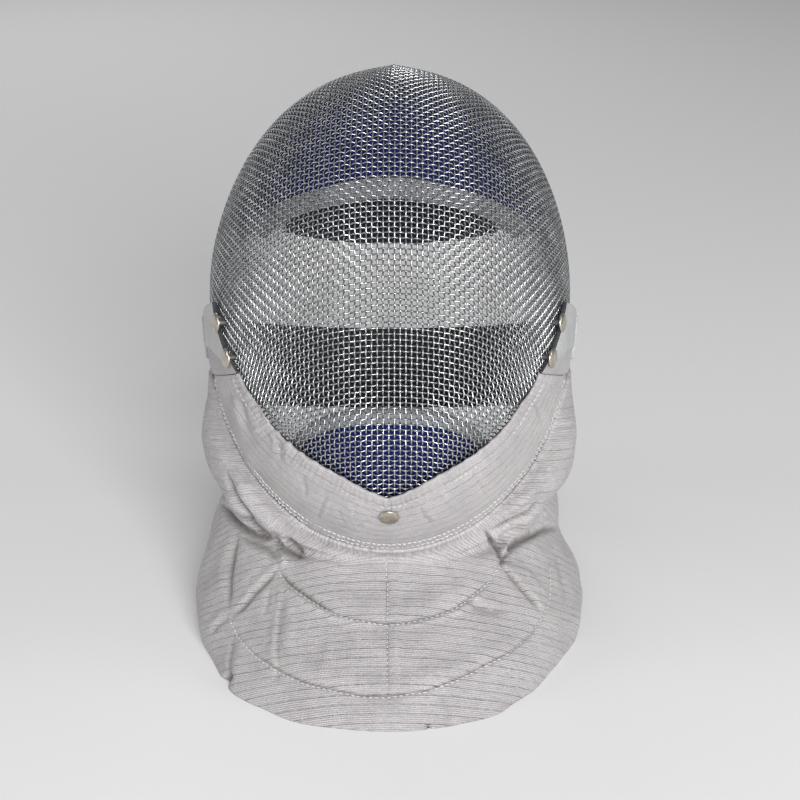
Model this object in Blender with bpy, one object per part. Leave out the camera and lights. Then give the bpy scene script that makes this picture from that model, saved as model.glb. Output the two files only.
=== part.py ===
"""Fencing mask standing on its padded bib, in metres, +Z up.

The wire dome is drawn in the mask's own frame: x across it, a to its back and b to its
crown, from the middle of the dome. Standing on its bib the mask leans back by LEAN. The
face looks along -Y and the bib's hem lies on z = 0. Left and right are as seen from in
front, so left is at -x.
"""
import math

import bmesh
import bpy
import numpy as np

# The mask as it stands
LEAN = 25.0
# Slides the mask back so that the origin lies under the middle of its length
SLIDE = 0.01226
DOME_CENTRE = np.array([0.0, 0.022 + SLIDE, 0.158])

# The wire dome
HALF_WIDTH = 0.097
PLAN_POWER = 2.1
# angle up from straight ahead (degrees), reach from the dome's centre
SIDE_PROFILE = (
    (-80.0, 0.145), (-63.0, 0.153), (-47.0, 0.155), (-32.0, 0.150), (-16.0, 0.142),
    (0.0, 0.136), (16.0, 0.132), (33.0, 0.129), (50.0, 0.1275), (69.0, 0.124),
    (88.0, 0.1185), (109.0, 0.115), (132.0, 0.115), (155.0, 0.118), (180.0, 0.122),
    (215.0, 0.126), (245.0, 0.132),
)
CREASE_RISE = 0.003
CREASE_WIDTH = 0.014
CREASE_ANGLE = 75.0
CREASE_SPAN = 36.0
# The dome is charted from a pole low on the face: spread is the angle off the pole, and
# bearing the angle round it, 0 at the crown and 180 at the chin
POLE_ANGLE = -12.0
# bearing (degrees), spread of the rear rim (degrees)
RIM = (
    (0.0, 145.0), (30.0, 140.0), (60.0, 126.0), (80.0, 115.0), (95.0, 105.0),
    (110.0, 90.0), (125.0, 76.0), (140.0, 65.0), (160.0, 58.0), (180.0, 58.0),
)
MESH_THICK = 0.002
NET_COLUMNS = 10
NET_ROWS_BELOW = 4
NET_ROWS_ABOVE = 8
NET_EDGE = 0.965
GAP_SHARE = 0.66
# No gap is cut nearer than this to a rivet
RIVET_CLEAR = 0.014

# Clearances between touching pieces
GAP = 0.0003
SEAT = 0.0009

# The V trim over the mesh's lower edge
BAND_THICK = 0.0018
BAND_END_BEARING = 113.3
BAND_HALF_STATIONS = 17
# bearing (degrees), spread of the upper edge, spread of the lower edge (degrees)
BAND_EDGES = (
    (113.3, 40.2, 63.4), (119.0, 38.6, 63.0), (125.0, 36.4, 61.8), (132.0, 35.2, 59.6),
    (140.0, 33.8, 56.8), (147.0, 32.8, 54.6), (155.0, 32.0, 53.2), (166.0, 32.2, 52.0),
    (172.0, 33.2, 51.8), (180.0, 34.8, 51.8),
)

# The bib
BIB_THICK = 0.003
BIB_STATIONS = 41
BIB_SWEEP = 150.0
# Small steps round and down the bib from which its normals are taken
BIB_STEP = (1.0, 0.01)
# station angle round the bib (degrees), bearing and spread on the dome (degrees)
BIB_TOP = (
    (0.0, 180.0, 52.0), (25.0, 164.0, 52.6), (50.0, 147.0, 55.2), (75.0, 131.0, 60.8),
    (96.0, 117.0, 64.8), (108.0, 113.8, 69.0), (130.0, 113.5, 78.0), (150.0, 113.5, 88.0),
)
# Rings of the bib below its top edge: how far down the cloth it lies, then where it
# crosses the front (y, z), the widest place (x, y, z) and the rear edge (x, y, z)
BIB_RINGS = (
    # down  front_y  front_z  side_x  side_y  side_z  rear_x  rear_y  rear_z
    (0.14, -0.0965, 0.0560, 0.0995, -0.022, 0.1010, 0.0950, 0.012, 0.0960),
    (0.28, -0.0955, 0.0530, 0.0975, -0.020, 0.0760, 0.0900, 0.026, 0.0760),
    (0.38, -0.0970, 0.0505, 0.0895, -0.018, 0.0600, 0.0850, 0.036, 0.0600),
    (0.48, -0.1040, 0.0455, 0.0920, -0.024, 0.0500, 0.0850, 0.044, 0.0480),
    (0.72, -0.1380, 0.0265, 0.1010, -0.040, 0.0240, 0.0870, 0.056, 0.0240),
    (0.94, -0.1700, 0.0050, 0.1035, -0.046, 0.0060, 0.0870, 0.062, 0.0060),
    (1.00, -0.1755, 0.0000, 0.1025, -0.046, 0.0000, 0.0860, 0.062, 0.0000),
)
# Folds where the standing mask's weight pinches the bib beside the neck
BIB_FOLDS = (
    # angle  angle_span  down  down_span  depth
    (-42.0, 13.0, 0.37, 0.050, -0.0085),
    (40.0, 12.0, 0.36, 0.045, -0.0070),
    (-66.0, 18.0, 0.40, 0.050, -0.0030),
    (66.0, 18.0, 0.40, 0.050, -0.0030),
    (-48.0, 10.0, 0.24, 0.060, 0.0030),
    (46.0, 10.0, 0.24, 0.060, 0.0025),
)
BIB_LEVELS = (
    0.0, 0.07, 0.14, 0.21, 0.28, 0.33, 0.38, 0.43, 0.48, 0.60, 0.72, 0.83, 0.94, 1.0,
)

# Pads inside the dome
PAD_SEAT = 0.0066
CHIN_SEAT = 0.0068
PAD_THICK = 0.0110
PAD_GAP = 0.0006
FOREHEAD_STATIONS = 19
CHIN_STATIONS = 13
# How far the bound edges lie from the dome's middle
FOREHEAD_REACH = 0.125
CHIN_REACH = 0.150
BINDING_WIDE = 0.0085
# across the binding, depth into the pad, as shares of its half width and the pad's thickness
BINDING_SECTION = (
    (-0.5, 0.0), (0.5, 0.0), (1.0, -0.25), (1.0, -0.75), (0.5, -1.0), (-0.5, -1.0),
    (-1.0, -0.75), (-1.0, -0.25),
)
# bearing (degrees), spread of the pad's white lower edge (degrees), spread of its upper end
FOREHEAD_PAD = (
    (0.0, 31.0, 97.0), (17.0, 32.0, 97.0), (35.0, 35.5, 96.0), (46.0, 40.0, 95.0),
    (54.0, 44.2, 93.0), (64.0, 51.0, 90.0),
)
# turn from straight ahead (degrees), angle of the pad's white upper edge, of its lower end
CHIN_PAD = (
    (0.0, -31.3, -67.0), (10.0, -32.0, -67.0), (18.0, -34.0, -66.0), (26.0, -37.6, -64.0),
    (31.0, -41.0, -61.0),
)

# Tongue behind the head: a bent spring with a pad
TONGUE_ARC = 0.080
TONGUE_ARC_BACK = 0.015
TONGUE_PAD_THICK = 0.0105
TONGUE_HALF_TURN = 46.0
TONGUE_STATIONS = 13
# turn from straight back (degrees), lower edge, upper edge (b)
TONGUE_PAD = ((0.0, 0.0385, 0.0715), (16.0, 0.0390, 0.0700), (32.0, 0.0402, 0.0650),
              (46.0, 0.0420, 0.0585))
SPRING_THICK = 0.0016
SPRING_HALF_WIDTH = 0.013
SPRING_CUP = 0.075
SPRING_SEAT = 0.0056
# spread of the places under the crown where the spring lies against the mesh
SPRING_ROOT = (110.0, 121.0, 131.0, 137.0)
# back (a) and up (b) of the spring's outer face, from the rim to its lower end
SPRING_PATH = (
    (0.0848, 0.0741), (0.0970, 0.0785), (0.1060, 0.0770), (0.1092, 0.0710), (0.1082, 0.0600),
    (0.1077, 0.0450),
)

# Elastic back strap and the tabs that hold it
STRAP_HALF_WIDTH = 0.0968
STRAP_FRONT = 0.018
STRAP_BACK = 0.110
STRAP_THICK = 0.0020
STRAP_LOW = -0.058
STRAP_HIGH = -0.012
STRAP_START = 10.0
STRAP_STATIONS = 25
TAB_THICK = 0.0022
TAB_SEAT = 0.0027
TAB_LOW = -0.037
TAB_HIGH = -0.015
# a of the tab's crosswise lines: it follows the dome over the first three, then leaves it to
# lie along the strap over the last three
TAB_ON_DOME = (-0.006, 0.005, 0.016)
TAB_OFF_DOME = (0.036, 0.044, 0.052)
TAB_OVER_STRAP = 0.0010

# Side patches: spread of the front edge and the rear edge at the top and at the bottom
PATCH_THICK = 0.0026
PATCH_TOP = (54.0, 89.8, 83.0, 97.5)
PATCH_BOTTOM = (40.3, 112.6, 80.0, 112.2)

# Rim trim: a channel over the rear edge of the mesh, from patch to patch over the crown
TRIM_LEG = 0.0060
TRIM_THICK = 0.0015
TRIM_SLACK = 0.0007
TRIM_END = 112.0

# Rivets
CAP_RADIUS = 0.0050
CAP_RISE = 0.0016
INNER_CAP_RADIUS = 0.0040
POST_RADIUS = 0.0017
HOLE_RADIUS = 0.0020
HOLE_REACH = 0.020
RIVET_SIDES = 12
INNER_CAP_DEPTH = 0.0056
SPRING_CLEAR = 0.0010
# name, spread, bearing (degrees)
SIDE_RIVETS = (("upper", 48.6, 96.0), ("lower", 43.4, 107.6))
CHIN_RIVET_SPREAD = 38.9
TONGUE_RIVET_SPREAD = 121.0
TONGUE_RIVET_OUT = 0.0075


def smooth(rows, column, at):
    """A smooth curve through one column of a table whose first column runs upward."""
    x = np.array([row[0] for row in rows])
    y = np.array([row[column] for row in rows])
    steep = np.gradient(y, x)
    at = np.clip(at, x[0], x[-1])
    i = np.clip(np.searchsorted(x, at, side="right") - 1, 0, len(x) - 2)
    h = x[i + 1] - x[i]
    t = (at - x[i]) / h
    return ((1 + 2 * t) * (1 - t) ** 2 * y[i] + t * (1 - t) ** 2 * h * steep[i]
            + t * t * (3 - 2 * t) * y[i + 1] + t * t * (t - 1) * h * steep[i + 1])


def round_table():
    """The side profile with a turn added at both ends, so that it closes smoothly."""
    before = tuple((angle - 360.0, reach) for angle, reach in SIDE_PROFILE)
    after = tuple((angle + 360.0, reach) for angle, reach in SIDE_PROFILE)
    return before[-3:] + SIDE_PROFILE + after[:3]


ROUND_PROFILE = round_table()


def dome_reach(way):
    """Distance of the dome from its centre along unit vectors (x, a, b)."""
    flat = np.hypot(way[..., 1], way[..., 2])
    angle = np.degrees(np.arctan2(way[..., 2], -way[..., 1]))
    angle = (angle - SIDE_PROFILE[0][0]) % 360.0 + SIDE_PROFILE[0][0]
    profile = smooth(ROUND_PROFILE, 1, angle)
    share = (np.abs(way[..., 0]) / HALF_WIDTH) ** PLAN_POWER + (flat / profile) ** PLAN_POWER
    reach = share ** (-1.0 / PLAN_POWER)
    over_crown = np.exp(-((angle - CREASE_ANGLE) / CREASE_SPAN) ** 2)
    return reach + CREASE_RISE * over_crown * np.exp(-np.abs(way[..., 0]) * reach / CREASE_WIDTH)


def height_over_dome(spot):
    length = np.linalg.norm(spot, axis=-1)
    return length - dome_reach(spot / length[..., None])


def outward(spot):
    """Unit normals of the dome near the spots."""
    step = 0.0005
    slope = []
    for axis in np.eye(3) * step:
        slope.append(height_over_dome(spot + axis) - height_over_dome(spot - axis))
    slope = np.stack(slope, axis=-1)
    return slope / np.linalg.norm(slope, axis=-1)[..., None]


def on_dome(spread, bearing, lift=0.0):
    """Own-frame points on the dome, lifted off it along its normal."""
    spread, bearing = np.broadcast_arrays(np.radians(spread), np.radians(bearing))
    pole = math.radians(POLE_ANGLE)
    ahead = np.array([0.0, -math.cos(pole), math.sin(pole)])
    up = np.array([0.0, math.sin(pole), math.cos(pole)])
    side = np.array([1.0, 0.0, 0.0])
    way = (np.cos(spread)[..., None] * ahead
           + (np.sin(spread) * np.cos(bearing))[..., None] * up
           + (np.sin(spread) * np.sin(bearing))[..., None] * side)
    spot = way * dome_reach(way)[..., None]
    return spot + outward(spot) * np.asarray(lift)[..., None]


def standing(own):
    """Own-frame points placed as the mask stands."""
    lean = math.radians(LEAN)
    placed = np.empty_like(own)
    placed[..., 0] = own[..., 0]
    placed[..., 1] = own[..., 1] * math.cos(lean) + own[..., 2] * math.sin(lean)
    placed[..., 2] = own[..., 2] * math.cos(lean) - own[..., 1] * math.sin(lean)
    return placed + DOME_CENTRE


def rim_spread(bearing):
    return smooth(RIM, 1, np.abs((np.asarray(bearing) + 180.0) % 360.0 - 180.0))


def bib_point(angle, down):
    """Outer face of the bib: angle round it (0 at the front), down from 0 at its top."""
    side = np.sign(angle)
    turn = np.abs(angle)
    spread = smooth(BIB_TOP, 2, turn)
    bearing = smooth(BIB_TOP, 1, turn)
    spots = [standing(on_dome(spread, bearing, SEAT + BIB_THICK))]
    depths = [0.0]
    front = np.clip(turn / 90.0, 0.0, 1.0)
    rear = np.clip((turn - 90.0) / (BIB_SWEEP - 90.0), 0.0, 1.0)
    sin_front, cos_front = np.sin(front * math.pi / 2), np.cos(front * math.pi / 2)
    sin_rear, cos_rear = np.sin(rear * math.pi / 2), np.cos(rear * math.pi / 2)
    for depth, front_y, front_z, side_x, side_y, side_z, rear_x, rear_y, rear_z in BIB_RINGS:
        x = side_x * sin_front - (side_x - rear_x) * (1 - cos_rear)
        y = SLIDE + side_y - (side_y - front_y) * cos_front + (rear_y - side_y) * sin_rear
        z = front_z + (side_z - front_z) * sin_front ** 2 + (rear_z - side_z) * sin_rear ** 2
        spots.append(np.stack([x, y, z], axis=-1))
        depths.append(depth)
    spots = np.stack(spots)
    depths = np.array(depths)
    steep = np.gradient(spots, depths, axis=0)
    i = np.clip(np.searchsorted(depths, down, side="right") - 1, 0, len(depths) - 2)
    h = depths[i + 1] - depths[i]
    t = (down - depths[i]) / h
    out = ((1 + 2 * t) * (1 - t) ** 2 * spots[i] + t * (1 - t) ** 2 * h * steep[i]
           + t * t * (3 - 2 * t) * spots[i + 1] + t * t * (t - 1) * h * steep[i + 1])
    out[..., 0] *= np.where(side == 0, 0.0, side)
    return out


def bib_folded(angle, down):
    """Outer face of the bib with its folds pressed in along the normal."""
    step_angle, step_down = BIB_STEP
    spot = bib_point(angle, down)
    along = bib_point(angle + step_angle, down) - bib_point(angle - step_angle, down)
    lower = np.minimum(down + step_down, 1.0)
    upper = np.maximum(down - step_down, 0.0)
    across = bib_point(angle, lower) - bib_point(angle, upper)
    normal = np.cross(across, along)
    normal /= np.linalg.norm(normal, axis=-1)[..., None]
    press = np.zeros_like(angle)
    for at, span, depth_at, depth_span, depth in BIB_FOLDS:
        press += depth * np.exp(-((angle - at) / span) ** 2 - ((down - depth_at) / depth_span) ** 2)
    return spot + normal * press[..., None], normal


# Building


def clear_scene():
    for thing in list(bpy.data.objects):
        bpy.data.objects.remove(thing, do_unlink=True)


def finish_of(name, colour, roughness, metallic=0.0):
    look = bpy.data.materials.new(name)
    look.use_nodes = True
    shader = look.node_tree.nodes["Principled BSDF"]
    shader.inputs["Base Color"].default_value = (*colour, 1.0)
    shader.inputs["Roughness"].default_value = roughness
    shader.inputs["Metallic"].default_value = metallic
    return look


def add_body(name, spots, faces, look, sharp=40.0):
    """One object of that name from its points and faces, its faces turned outward."""
    mesh = bpy.data.meshes.new(name)
    form = bmesh.new()
    corners = [form.verts.new(spot) for spot in spots]
    for face in faces:
        form.faces.new([corners[i] for i in face])
    bmesh.ops.recalc_face_normals(form, faces=form.faces[:])
    form.to_mesh(mesh)
    form.free()
    mesh.materials.append(look)
    mesh.shade_smooth()
    mesh.set_sharp_from_angle(angle=math.radians(sharp))
    body = bpy.data.objects.new(name, mesh)
    bpy.context.collection.objects.link(body)
    return body


def layered(name, outer, inner, look):
    """A closed wall between two grids of points that match."""
    rows, columns = outer.shape[:2]
    spots = np.concatenate([outer.reshape(-1, 3), inner.reshape(-1, 3)])
    back = rows * columns
    faces = []
    for i in range(rows - 1):
        for j in range(columns - 1):
            at = i * columns + j
            quad = (at, at + 1, at + columns + 1, at + columns)
            faces.append(quad)
            faces.append(tuple(back + k for k in reversed(quad)))
    edge = [j for j in range(columns)]
    edge += [i * columns + columns - 1 for i in range(1, rows)]
    edge += [(rows - 1) * columns + j for j in range(columns - 2, -1, -1)]
    edge += [i * columns for i in range(rows - 2, 0, -1)]
    for one, two in zip(edge, edge[1:] + edge[:1]):
        faces.append((one, back + one, back + two, two))
    return add_body(name, spots, faces, look)


def swept(name, rings, look):
    """A bar through rings of matching points, with flat ends."""
    count, sides = rings.shape[:2]
    faces = []
    for i in range(count - 1):
        for j in range(sides):
            k = (j + 1) % sides
            faces.append((i * sides + j, i * sides + k, (i + 1) * sides + k, (i + 1) * sides + j))
    faces.append(tuple(range(sides)))
    faces.append(tuple((count - 1) * sides + j for j in reversed(range(sides))))
    return add_body(name, rings.reshape(-1, 3), faces, look)


def from_turn(turn, angle, lift):
    """Own-frame points at a turn from straight ahead and an angle up, lifted off the dome."""
    turn, angle = np.broadcast_arrays(np.radians(turn), np.radians(angle))
    way = np.stack([np.sin(turn) * np.cos(angle), -np.cos(turn) * np.cos(angle), np.sin(angle)], -1)
    spot = way * dome_reach(way)[..., None]
    return spot + outward(spot) * np.asarray(lift)[..., None]


def net_bearing_share(s, t):
    """Bearing and share of the rim's spread for a place s, t of the square net."""
    u = s * np.sqrt(1 - t * t / 2)
    v = t * np.sqrt(1 - s * s / 2)
    return np.degrees(np.arctan2(u, v)), np.hypot(u, v)


def net_lines():
    """The net's lines: s across it, and t up it with more rows above the pole."""
    s = np.linspace(-1.0, 1.0, NET_COLUMNS + 1)
    below = np.linspace(-1.0, 0.0, NET_ROWS_BELOW + 1)
    above = np.linspace(0.0, 1.0, NET_ROWS_ABOVE + 1)
    return s, np.concatenate([below, above[1:]])


def net_spots(s, t, lift):
    bearing, share = net_bearing_share(s, t)
    return standing(on_dome(rim_spread(bearing) * share * NET_EDGE, bearing, lift))


def border_places():
    """Row, column and bearing of each net place on the border, once round."""
    s, t = net_lines()
    rows = len(t) - 1
    ids = [(0, i) for i in range(NET_COLUMNS)]
    ids += [(j, NET_COLUMNS) for j in range(rows)]
    ids += [(rows, i) for i in range(NET_COLUMNS, 0, -1)]
    ids += [(j, 0) for j in range(rows, 0, -1)]
    return [(j, i, float(net_bearing_share(s[i], t[j])[0])) for j, i in ids]


def rivet_places():
    """Each rivet's name, its spread and bearing, and the height of the stack it closes."""
    places = []
    for side, way in (("left", -1.0), ("right", 1.0)):
        for name, spread, bearing in SIDE_RIVETS:
            places.append((f"{side}_rivet_{name}", spread, way * bearing, SEAT + PATCH_THICK))
    places.append(("chin_rivet", CHIN_RIVET_SPREAD, 180.0, SEAT + BAND_THICK))
    return places


def tongue_rivet_places():
    reach = np.linalg.norm(on_dome(TONGUE_RIVET_SPREAD, 0.0))
    off = math.degrees(TONGUE_RIVET_OUT / (reach * math.sin(math.radians(TONGUE_RIVET_SPREAD))))
    return (("left_tongue_rivet", TONGUE_RIVET_SPREAD, -off, 0.0),
            ("right_tongue_rivet", TONGUE_RIVET_SPREAD, off, 0.0))


def axis_at(spread, bearing):
    """Foot and direction, as the mask stands, of a rivet through the dome."""
    foot = on_dome(spread, bearing)
    tip = on_dome(spread, bearing, 0.01)
    foot, tip = standing(foot), standing(tip)
    return foot, (tip - foot) / np.linalg.norm(tip - foot)


def turned(name, profile, foot, way, look):
    """A body turned round the line from foot along way; profile rows are radius, height."""
    side = np.cross(way, [0.0, 0.0, 1.0])
    side /= np.linalg.norm(side)
    other = np.cross(way, side)
    rings = []
    for radius, height in profile:
        ring = []
        for k in range(RIVET_SIDES):
            around = 2 * math.pi * k / RIVET_SIDES
            ring.append(foot + way * height
                        + (side * math.cos(around) + other * math.sin(around)) * radius)
        rings.append(ring)
    return swept(name, np.array(rings), look)


def bore(body, places):
    """Cut the rivets' holes through a body."""
    for name, spread, bearing, _ in places:
        foot, way = axis_at(spread, bearing)
        profile = ((HOLE_RADIUS, -HOLE_REACH), (HOLE_RADIUS, HOLE_REACH))
        cutter = turned(f"{body.name}_hole_{name}", profile, foot, way, body.data.materials[0])
        cutter.hide_render = True
        cutter.display_type = "WIRE"
        cut = body.modifiers.new(f"hole for {name}", "BOOLEAN")
        cut.operation = "DIFFERENCE"
        cut.object = cutter


def make_face_mesh(look, places):
    """The wire dome as a coarse net: a wall cut through in rows and columns."""
    s, t = net_lines()
    feet = [axis_at(spread, bearing)[0] for _, spread, bearing, _ in places]
    spots = []
    faces = []

    def add(points):
        spots.extend(points)
        return list(range(len(spots) - len(points), len(spots)))

    grid_s, grid_t = np.meshgrid(s, t)
    nodes = {}
    for layer, lift in (("out", 0.0), ("in", -MESH_THICK)):
        points = net_spots(grid_s, grid_t, lift)
        ids = add(points.reshape(-1, 3))
        nodes[layer] = np.array(ids).reshape(grid_s.shape)
    rows = len(t) - 1
    for j in range(rows):
        for i in range(NET_COLUMNS):
            mid_s, mid_t = (s[i] + s[i + 1]) / 2, (t[j] + t[j + 1]) / 2
            half_s, half_t = (s[i + 1] - s[i]) / 2 * GAP_SHARE, (t[j + 1] - t[j]) / 2 * GAP_SHARE
            hole_s = mid_s + np.array([-half_s, half_s, half_s, -half_s])
            hole_t = mid_t + np.array([-half_t, -half_t, half_t, half_t])
            rim = ((j, i), (j, i + 1), (j + 1, i + 1), (j + 1, i))
            hole = net_spots(hole_s, hole_t, 0.0)
            near = min(np.linalg.norm(hole - foot, axis=1).min() for foot in feet)
            corner = i in (0, NET_COLUMNS - 1) and j in (0, rows - 1)
            if near < RIVET_CLEAR or corner:
                for layer in ("out", "in"):
                    faces.append([nodes[layer][k] for k in rim])
                continue
            inside = {"out": add(hole), "in": add(net_spots(hole_s, hole_t, -MESH_THICK))}
            for k in range(4):
                n = (k + 1) % 4
                for layer in ("out", "in"):
                    faces.append([nodes[layer][rim[k]], nodes[layer][rim[n]],
                                  inside[layer][n], inside[layer][k]])
                faces.append([inside["out"][k], inside["out"][n],
                              inside["in"][n], inside["in"][k]])
    border = border_places()
    around = [(j, i) for j, i, _ in border]
    bearing = np.array([row[2] for row in border])
    out = add(standing(on_dome(rim_spread(bearing), bearing, 0.0)))
    into = add(standing(on_dome(rim_spread(bearing), bearing, -MESH_THICK)))
    for k in range(len(border)):
        n = (k + 1) % len(border)
        faces.append([nodes["out"][around[k]], nodes["out"][around[n]], out[n], out[k]])
        faces.append([nodes["in"][around[k]], nodes["in"][around[n]], into[n], into[k]])
        faces.append([out[k], out[n], into[n], into[k]])
    body = add_body("face_mesh", spots, faces, look)
    bore(body, places)
    return body


def make_rim_trim(look):
    bearings = sorted(row[2] for row in border_places() if abs(row[2]) <= TRIM_END)
    rings = []
    for bearing in bearings:
        edge = rim_spread(bearing)
        reach = np.linalg.norm(on_dome(edge, bearing))
        leg = math.degrees(TRIM_LEG / reach)
        gap = math.degrees(GAP / reach)
        back = math.degrees((GAP + TRIM_THICK) / reach)
        low, high = -MESH_THICK - TRIM_SLACK, TRIM_SLACK
        section = (
            (edge - leg, high), (edge + gap, high), (edge + gap, low), (edge - leg, low),
            (edge - leg, low - TRIM_THICK), (edge + back, low - TRIM_THICK),
            (edge + back, high + TRIM_THICK), (edge - leg, high + TRIM_THICK),
        )
        rings.append([standing(on_dome(spread, bearing, lift)) for spread, lift in section])
    return swept("rim_trim", np.array(rings), look)


def make_band(look, places):
    half = np.linspace(BAND_END_BEARING, 180.0, BAND_HALF_STATIONS)
    bearing = np.concatenate([half, (360.0 - half)[::-1][1:]])
    upper = smooth(BAND_EDGES, 1, 180.0 - np.abs(180.0 - bearing))
    lower = smooth(BAND_EDGES, 2, 180.0 - np.abs(180.0 - bearing))
    share = np.linspace(0.0, 1.0, 4)
    spread = upper[:, None] + (lower - upper)[:, None] * share
    grid = np.broadcast_to(bearing[:, None], spread.shape)
    outer = standing(on_dome(spread, grid, SEAT + BAND_THICK))
    inner = standing(on_dome(spread, grid, SEAT))
    body = layered("bib_band", outer, inner, look)
    bore(body, places)
    return body


def make_bib(look):
    angle = np.linspace(-BIB_SWEEP, BIB_SWEEP, BIB_STATIONS)
    outer = []
    inner = []
    for down in BIB_LEVELS:
        face, normal = bib_folded(angle, down)
        if down == 0.0:
            turn = np.abs(angle)
            spread, bearing = smooth(BIB_TOP, 2, turn), smooth(BIB_TOP, 1, turn)
            under = standing(on_dome(spread, bearing * np.where(angle < 0, -1, 1), SEAT))
        elif down == 1.0:
            flat = normal * np.array([1.0, 1.0, 0.0])
            flat /= np.linalg.norm(flat, axis=-1)[..., None]
            under = face - flat * BIB_THICK
        else:
            under = face - normal * BIB_THICK
        outer.append(face)
        inner.append(under)
    return layered("bib", np.array(outer), np.array(inner), look)


def pad_wall(name, spread, bearing, points_at, seat, look):
    """A pad between two lifts under the dome, over a grid of places."""
    outer = standing(points_at(spread, bearing, -seat))
    inner = standing(points_at(spread, bearing, -seat - PAD_THICK))
    return layered(name, outer, inner, look)


def bound_edge(name, centre, along, points_at, seat, look, reach):
    """A rounded binding round a pad's edge; centre is its line in the first coordinate.

    Gives back the half width of the binding in degrees, and with the gap to its pad.
    """
    half = math.degrees(BINDING_WIDE / 2 / reach)
    rings = []
    for place, where in zip(centre, along):
        ring = [points_at(place + half * across, where, -seat + PAD_THICK * deep)
                for across, deep in BINDING_SECTION]
        rings.append([standing(spot) for spot in ring])
    swept(name, np.array(rings), look)
    return half + math.degrees(PAD_GAP / reach)


def make_forehead(pad_look, binding_look):
    bearing = np.linspace(-FOREHEAD_PAD[-1][0], FOREHEAD_PAD[-1][0], FOREHEAD_STATIONS)
    edge = smooth(FOREHEAD_PAD, 1, np.abs(bearing))
    far = smooth(FOREHEAD_PAD, 2, np.abs(bearing))
    start = edge + bound_edge("forehead_binding", edge, bearing, on_dome, PAD_SEAT, binding_look,
                              FOREHEAD_REACH)
    share = np.linspace(0.0, 1.0, 6)
    spread = start[:, None] + (far - start)[:, None] * share
    grid = np.broadcast_to(bearing[:, None], spread.shape)
    pad_wall("forehead_pad", spread, grid, on_dome, PAD_SEAT, pad_look)


def make_chin(pad_look, binding_look):
    turn = np.linspace(-CHIN_PAD[-1][0], CHIN_PAD[-1][0], CHIN_STATIONS)
    edge = smooth(CHIN_PAD, 1, np.abs(turn))
    far = smooth(CHIN_PAD, 2, np.abs(turn))

    def at(angle, where, lift):
        return from_turn(where, angle, lift)

    start = edge - bound_edge("chin_binding", edge, turn, at, CHIN_SEAT, binding_look, CHIN_REACH)
    share = np.linspace(0.0, 1.0, 4)
    angle = start[:, None] + (far - start)[:, None] * share
    grid = np.broadcast_to(turn[:, None], angle.shape)
    pad_wall("chin_pad", angle, grid, at, CHIN_SEAT, pad_look)


def make_tongue(pad_look, spring_look, places):
    turn = np.linspace(-TONGUE_HALF_TURN, TONGUE_HALF_TURN, TONGUE_STATIONS)
    low = smooth(TONGUE_PAD, 1, np.abs(turn))
    high = smooth(TONGUE_PAD, 2, np.abs(turn))
    share = np.linspace(0.0, 1.0, 3)
    up = low[:, None] + (high - low)[:, None] * share
    round_turn = np.radians(np.broadcast_to(turn[:, None], up.shape))
    faces = []
    for arc in (TONGUE_ARC + TONGUE_PAD_THICK, TONGUE_ARC):
        own = np.stack([arc * np.sin(round_turn), TONGUE_ARC_BACK + arc * np.cos(round_turn), up], -1)
        faces.append(standing(own))
    layered("tongue_pad", faces[0], faces[1], pad_look)

    root = on_dome(np.array(SPRING_ROOT), 0.0, -SPRING_SEAT)[:, 1:]
    path = np.concatenate([root, SPRING_PATH])
    tangent = np.gradient(path, axis=0)
    tangent /= np.linalg.norm(tangent, axis=1)[:, None]
    normal = np.stack([-tangent[:, 1], tangent[:, 0]], axis=1)
    x = np.linspace(-SPRING_HALF_WIDTH, SPRING_HALF_WIDTH, 5)
    walls = []
    for depth in (0.0, SPRING_THICK):
        sink = depth + x ** 2 / (2 * SPRING_CUP)
        flat = path[:, None, :] - normal[:, None, :] * sink[None, :, None]
        own = np.concatenate([np.broadcast_to(x[None, :, None], flat.shape[:2] + (1,)), flat], -1)
        walls.append(standing(own))
    spring = layered("tongue_spring", walls[0], walls[1], spring_look)
    bore(spring, places)


def strap_outline(turn, shift=0.0):
    """Own-frame x and a of the strap's outer face; turn runs 0 at its right end to 180."""
    turn = np.radians(turn)
    x = (STRAP_HALF_WIDTH + shift) * np.cos(turn)
    a = STRAP_FRONT + (STRAP_BACK - STRAP_FRONT + shift) * np.sin(turn)
    return x, a


def make_strap(look):
    turn = np.linspace(STRAP_START, 180.0 - STRAP_START, STRAP_STATIONS)
    height = np.array([STRAP_LOW, (STRAP_LOW + STRAP_HIGH) / 2, STRAP_HIGH])
    walls = []
    for shift in (0.0, -STRAP_THICK):
        x, a = strap_outline(turn, shift)
        grid = np.stack(np.broadcast_arrays(x[:, None], a[:, None], height[None, :]), -1)
        walls.append(standing(grid))
    layered("back_strap", walls[0], walls[1], look)


def dome_side(a, b, lift):
    """x of the dome's side at a and b, lifted."""
    x = np.full(np.broadcast(a, b).shape, HALF_WIDTH * 0.97)
    for _ in range(12):
        spot = np.stack(np.broadcast_arrays(x, a, b), -1)
        x = x - height_over_dome(spot)
    spot = np.stack(np.broadcast_arrays(x, a, b), -1)
    return (spot + outward(spot) * lift)[..., 0]


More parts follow.
